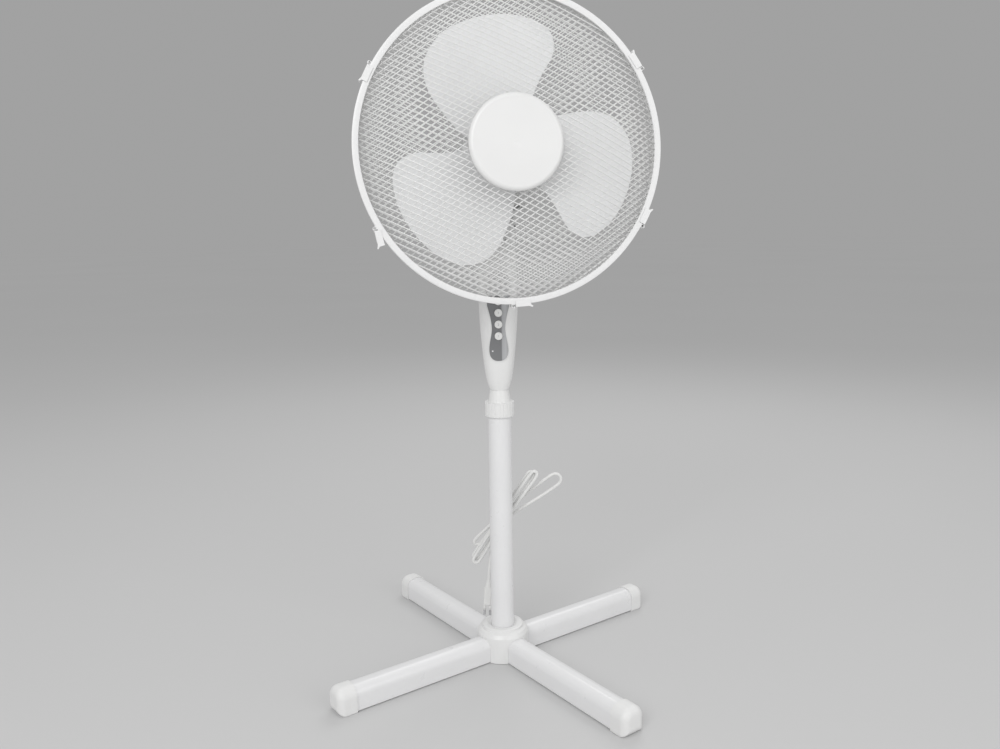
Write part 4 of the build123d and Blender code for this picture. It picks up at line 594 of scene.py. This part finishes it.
def add_guard_ring():
    """Ring round both rims: a rounded channel with a pair of lugs for each clip."""
    mesh = bmesh.new()
    back = RING_PLANE - RING_WIDTH / 2
    front = RING_PLANE + RING_WIDTH / 2
    inside = RING_RADIUS - RING_BAND
    channel = (
        (inside, back),
        (RING_RADIUS, back),
        (RING_RADIUS, front),
        (inside, front),
        (inside, front - RING_WALL),
        (RING_RADIUS - RING_WALL, front - RING_WALL),
        (RING_RADIUS - RING_WALL, back + RING_WALL),
        (inside, back + RING_WALL),
    )
    smooth(spun_outline(mesh, channel, HEAD, RING_STEPS, EDGE_ROUNDING))
    block = Matrix.Diagonal((LUG_ROOT * MM, 2 * LUG_RADIUS * MM, LUG_WIDTH * MM, 1.0))
    for hinge in CLIP_HINGES:
        spoke = HEAD @ Matrix.Rotation(radians(hinge), 4, "Z")
        for middle in (back + LUG_WIDTH / 2, front - LUG_WIDTH / 2):
            place = spoke @ Matrix.Translation(Vector((LUG_CIRCLE, 0.0, middle)) * MM)
            bmesh.ops.create_cone(
                mesh, cap_ends=True, segments=LUG_SIDES, radius1=LUG_RADIUS * MM, radius2=LUG_RADIUS * MM,
                depth=LUG_WIDTH * MM, matrix=place,
            )
            root = spoke @ Matrix.Translation(Vector((LUG_CIRCLE - LUG_RADIUS / 2, 0.0, middle)) * MM)
            bmesh.ops.create_cube(mesh, size=1.0, matrix=root @ block)
    add_piece("guard_ring_band", mesh, "head", "white_ring", "guard_ring")


def add_button_marks():
    """A speed number on each button, printed in grey."""
    for node, number in BUTTON_MARKS.items():
        low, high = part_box(node)
        text = bpy.data.curves.new(f"{node}_mark", "FONT")
        text.body = number
        text.size = MARK_SIZE * MM
        text.align_x = "CENTER"
        text.align_y = "CENTER"
        text.extrude = MARK_RAISE * MM
        label = add_object(f"{node}_mark_text", text)
        bpy.context.view_layer.update()
        flat = bpy.data.meshes.new_from_object(label.evaluated_get(bpy.context.evaluated_depsgraph_get()))
        bpy.data.objects.remove(label)
        middle = Vector(((low[0] + high[0]) / 2, low[1], (low[2] + high[2]) / 2))
        flat.transform(Matrix.Translation(middle) @ Matrix.Rotation(pi / 2, 4, "X"))
        flat.name = f"{node}_mark"
        flat.materials.clear()
        flat.materials.append(FINISHES["mark_grey"])
        mark = add_object(f"{node}_mark", flat)
        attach(mark, node)


def dress_cad_nodes():
    """Give every CAD node its slot's finish."""
    for row in frame["record"]["subparts"]:
        node = frame["nodes"][row["node"]]
        for slot in node.material_slots:
            slot.material = FINISHES[row["material_slot"]]


# Stage
def add_floor():
    """A plain pale floor."""
    finish, nodes, links, shader = new_finish("pale_floor")
    dull, light = FLOOR_TONES
    tone = noise(nodes, links, place_on_piece(nodes), 0.6)
    links.new(ramp(nodes, links, tone, ((0.3, grey(dull)), (0.7, grey(light)))), shader.inputs["Base Color"])
    shader.inputs["Roughness"].default_value = 0.9
    shader.inputs["Specular IOR Level"].default_value = 0.0
    mesh = bmesh.new()
    bmesh.ops.create_circle(mesh, cap_ends=True, segments=FLOOR_SIDES, radius=FLOOR_RADIUS)
    data = bpy.data.meshes.new("floor")
    mesh.to_mesh(data)
    mesh.free()
    data.materials.append(finish)
    add_object("floor", data)


def add_lamps():
    """Soft square lamps."""
    for name, (place, aim, size, power) in LAMPS.items():
        data = bpy.data.lights.new(name, "AREA")
        data.size = size
        data.energy = power
        lamp = add_object(name, data)
        lamp.location = place
        lamp.rotation_euler = (Vector(aim) - Vector(place)).to_track_quat("-Z", "Y").to_euler()


def larger(nodes, links, first, second):
    """The larger of two values."""
    node = nodes.new("ShaderNodeMath")
    node.operation = "MAXIMUM"
    links.new(first, node.inputs[0])
    links.new(second, node.inputs[1])
    return node.outputs["Value"]


def background(nodes, tone, strength):
    """An even background light."""
    node = nodes.new("ShaderNodeBackground")
    node.inputs["Color"].default_value = (*grey(tone), 1.0)
    node.inputs["Strength"].default_value = strength
    return node.outputs["Background"]


def add_world():
    """Soft light from all round, and the background that the camera and bright metal see."""
    world = bpy.data.worlds.new("studio")
    bpy.context.scene.world = world
    world.use_nodes = True
    nodes = world.node_tree.nodes
    links = world.node_tree.links
    nodes.clear()
    path = nodes.new("ShaderNodeLightPath").outputs
    seen = larger(nodes, links, path["Is Camera Ray"], path["Is Glossy Ray"])
    seen = larger(nodes, links, seen, path["Is Transmission Ray"])
    blend = nodes.new("ShaderNodeMixShader")
    links.new(seen, blend.inputs["Fac"])
    links.new(background(nodes, 1.0, SOFT_LIGHT), blend.inputs[1])
    links.new(background(nodes, BACKGROUND_TONE, 1.0), blend.inputs[2])
    output = nodes.new("ShaderNodeOutputWorld")
    links.new(blend.outputs["Shader"], output.inputs["Surface"])


bpy.context.scene.view_settings.view_transform = "Standard"
FINISHES = make_finishes()
HEAD = head_frame()
add_camera()
add_cord()
dress_cad_nodes()
add_front_guard()
add_rear_guard()
add_guard_ring()
add_button_marks()
add_floor()
add_lamps()
add_world()
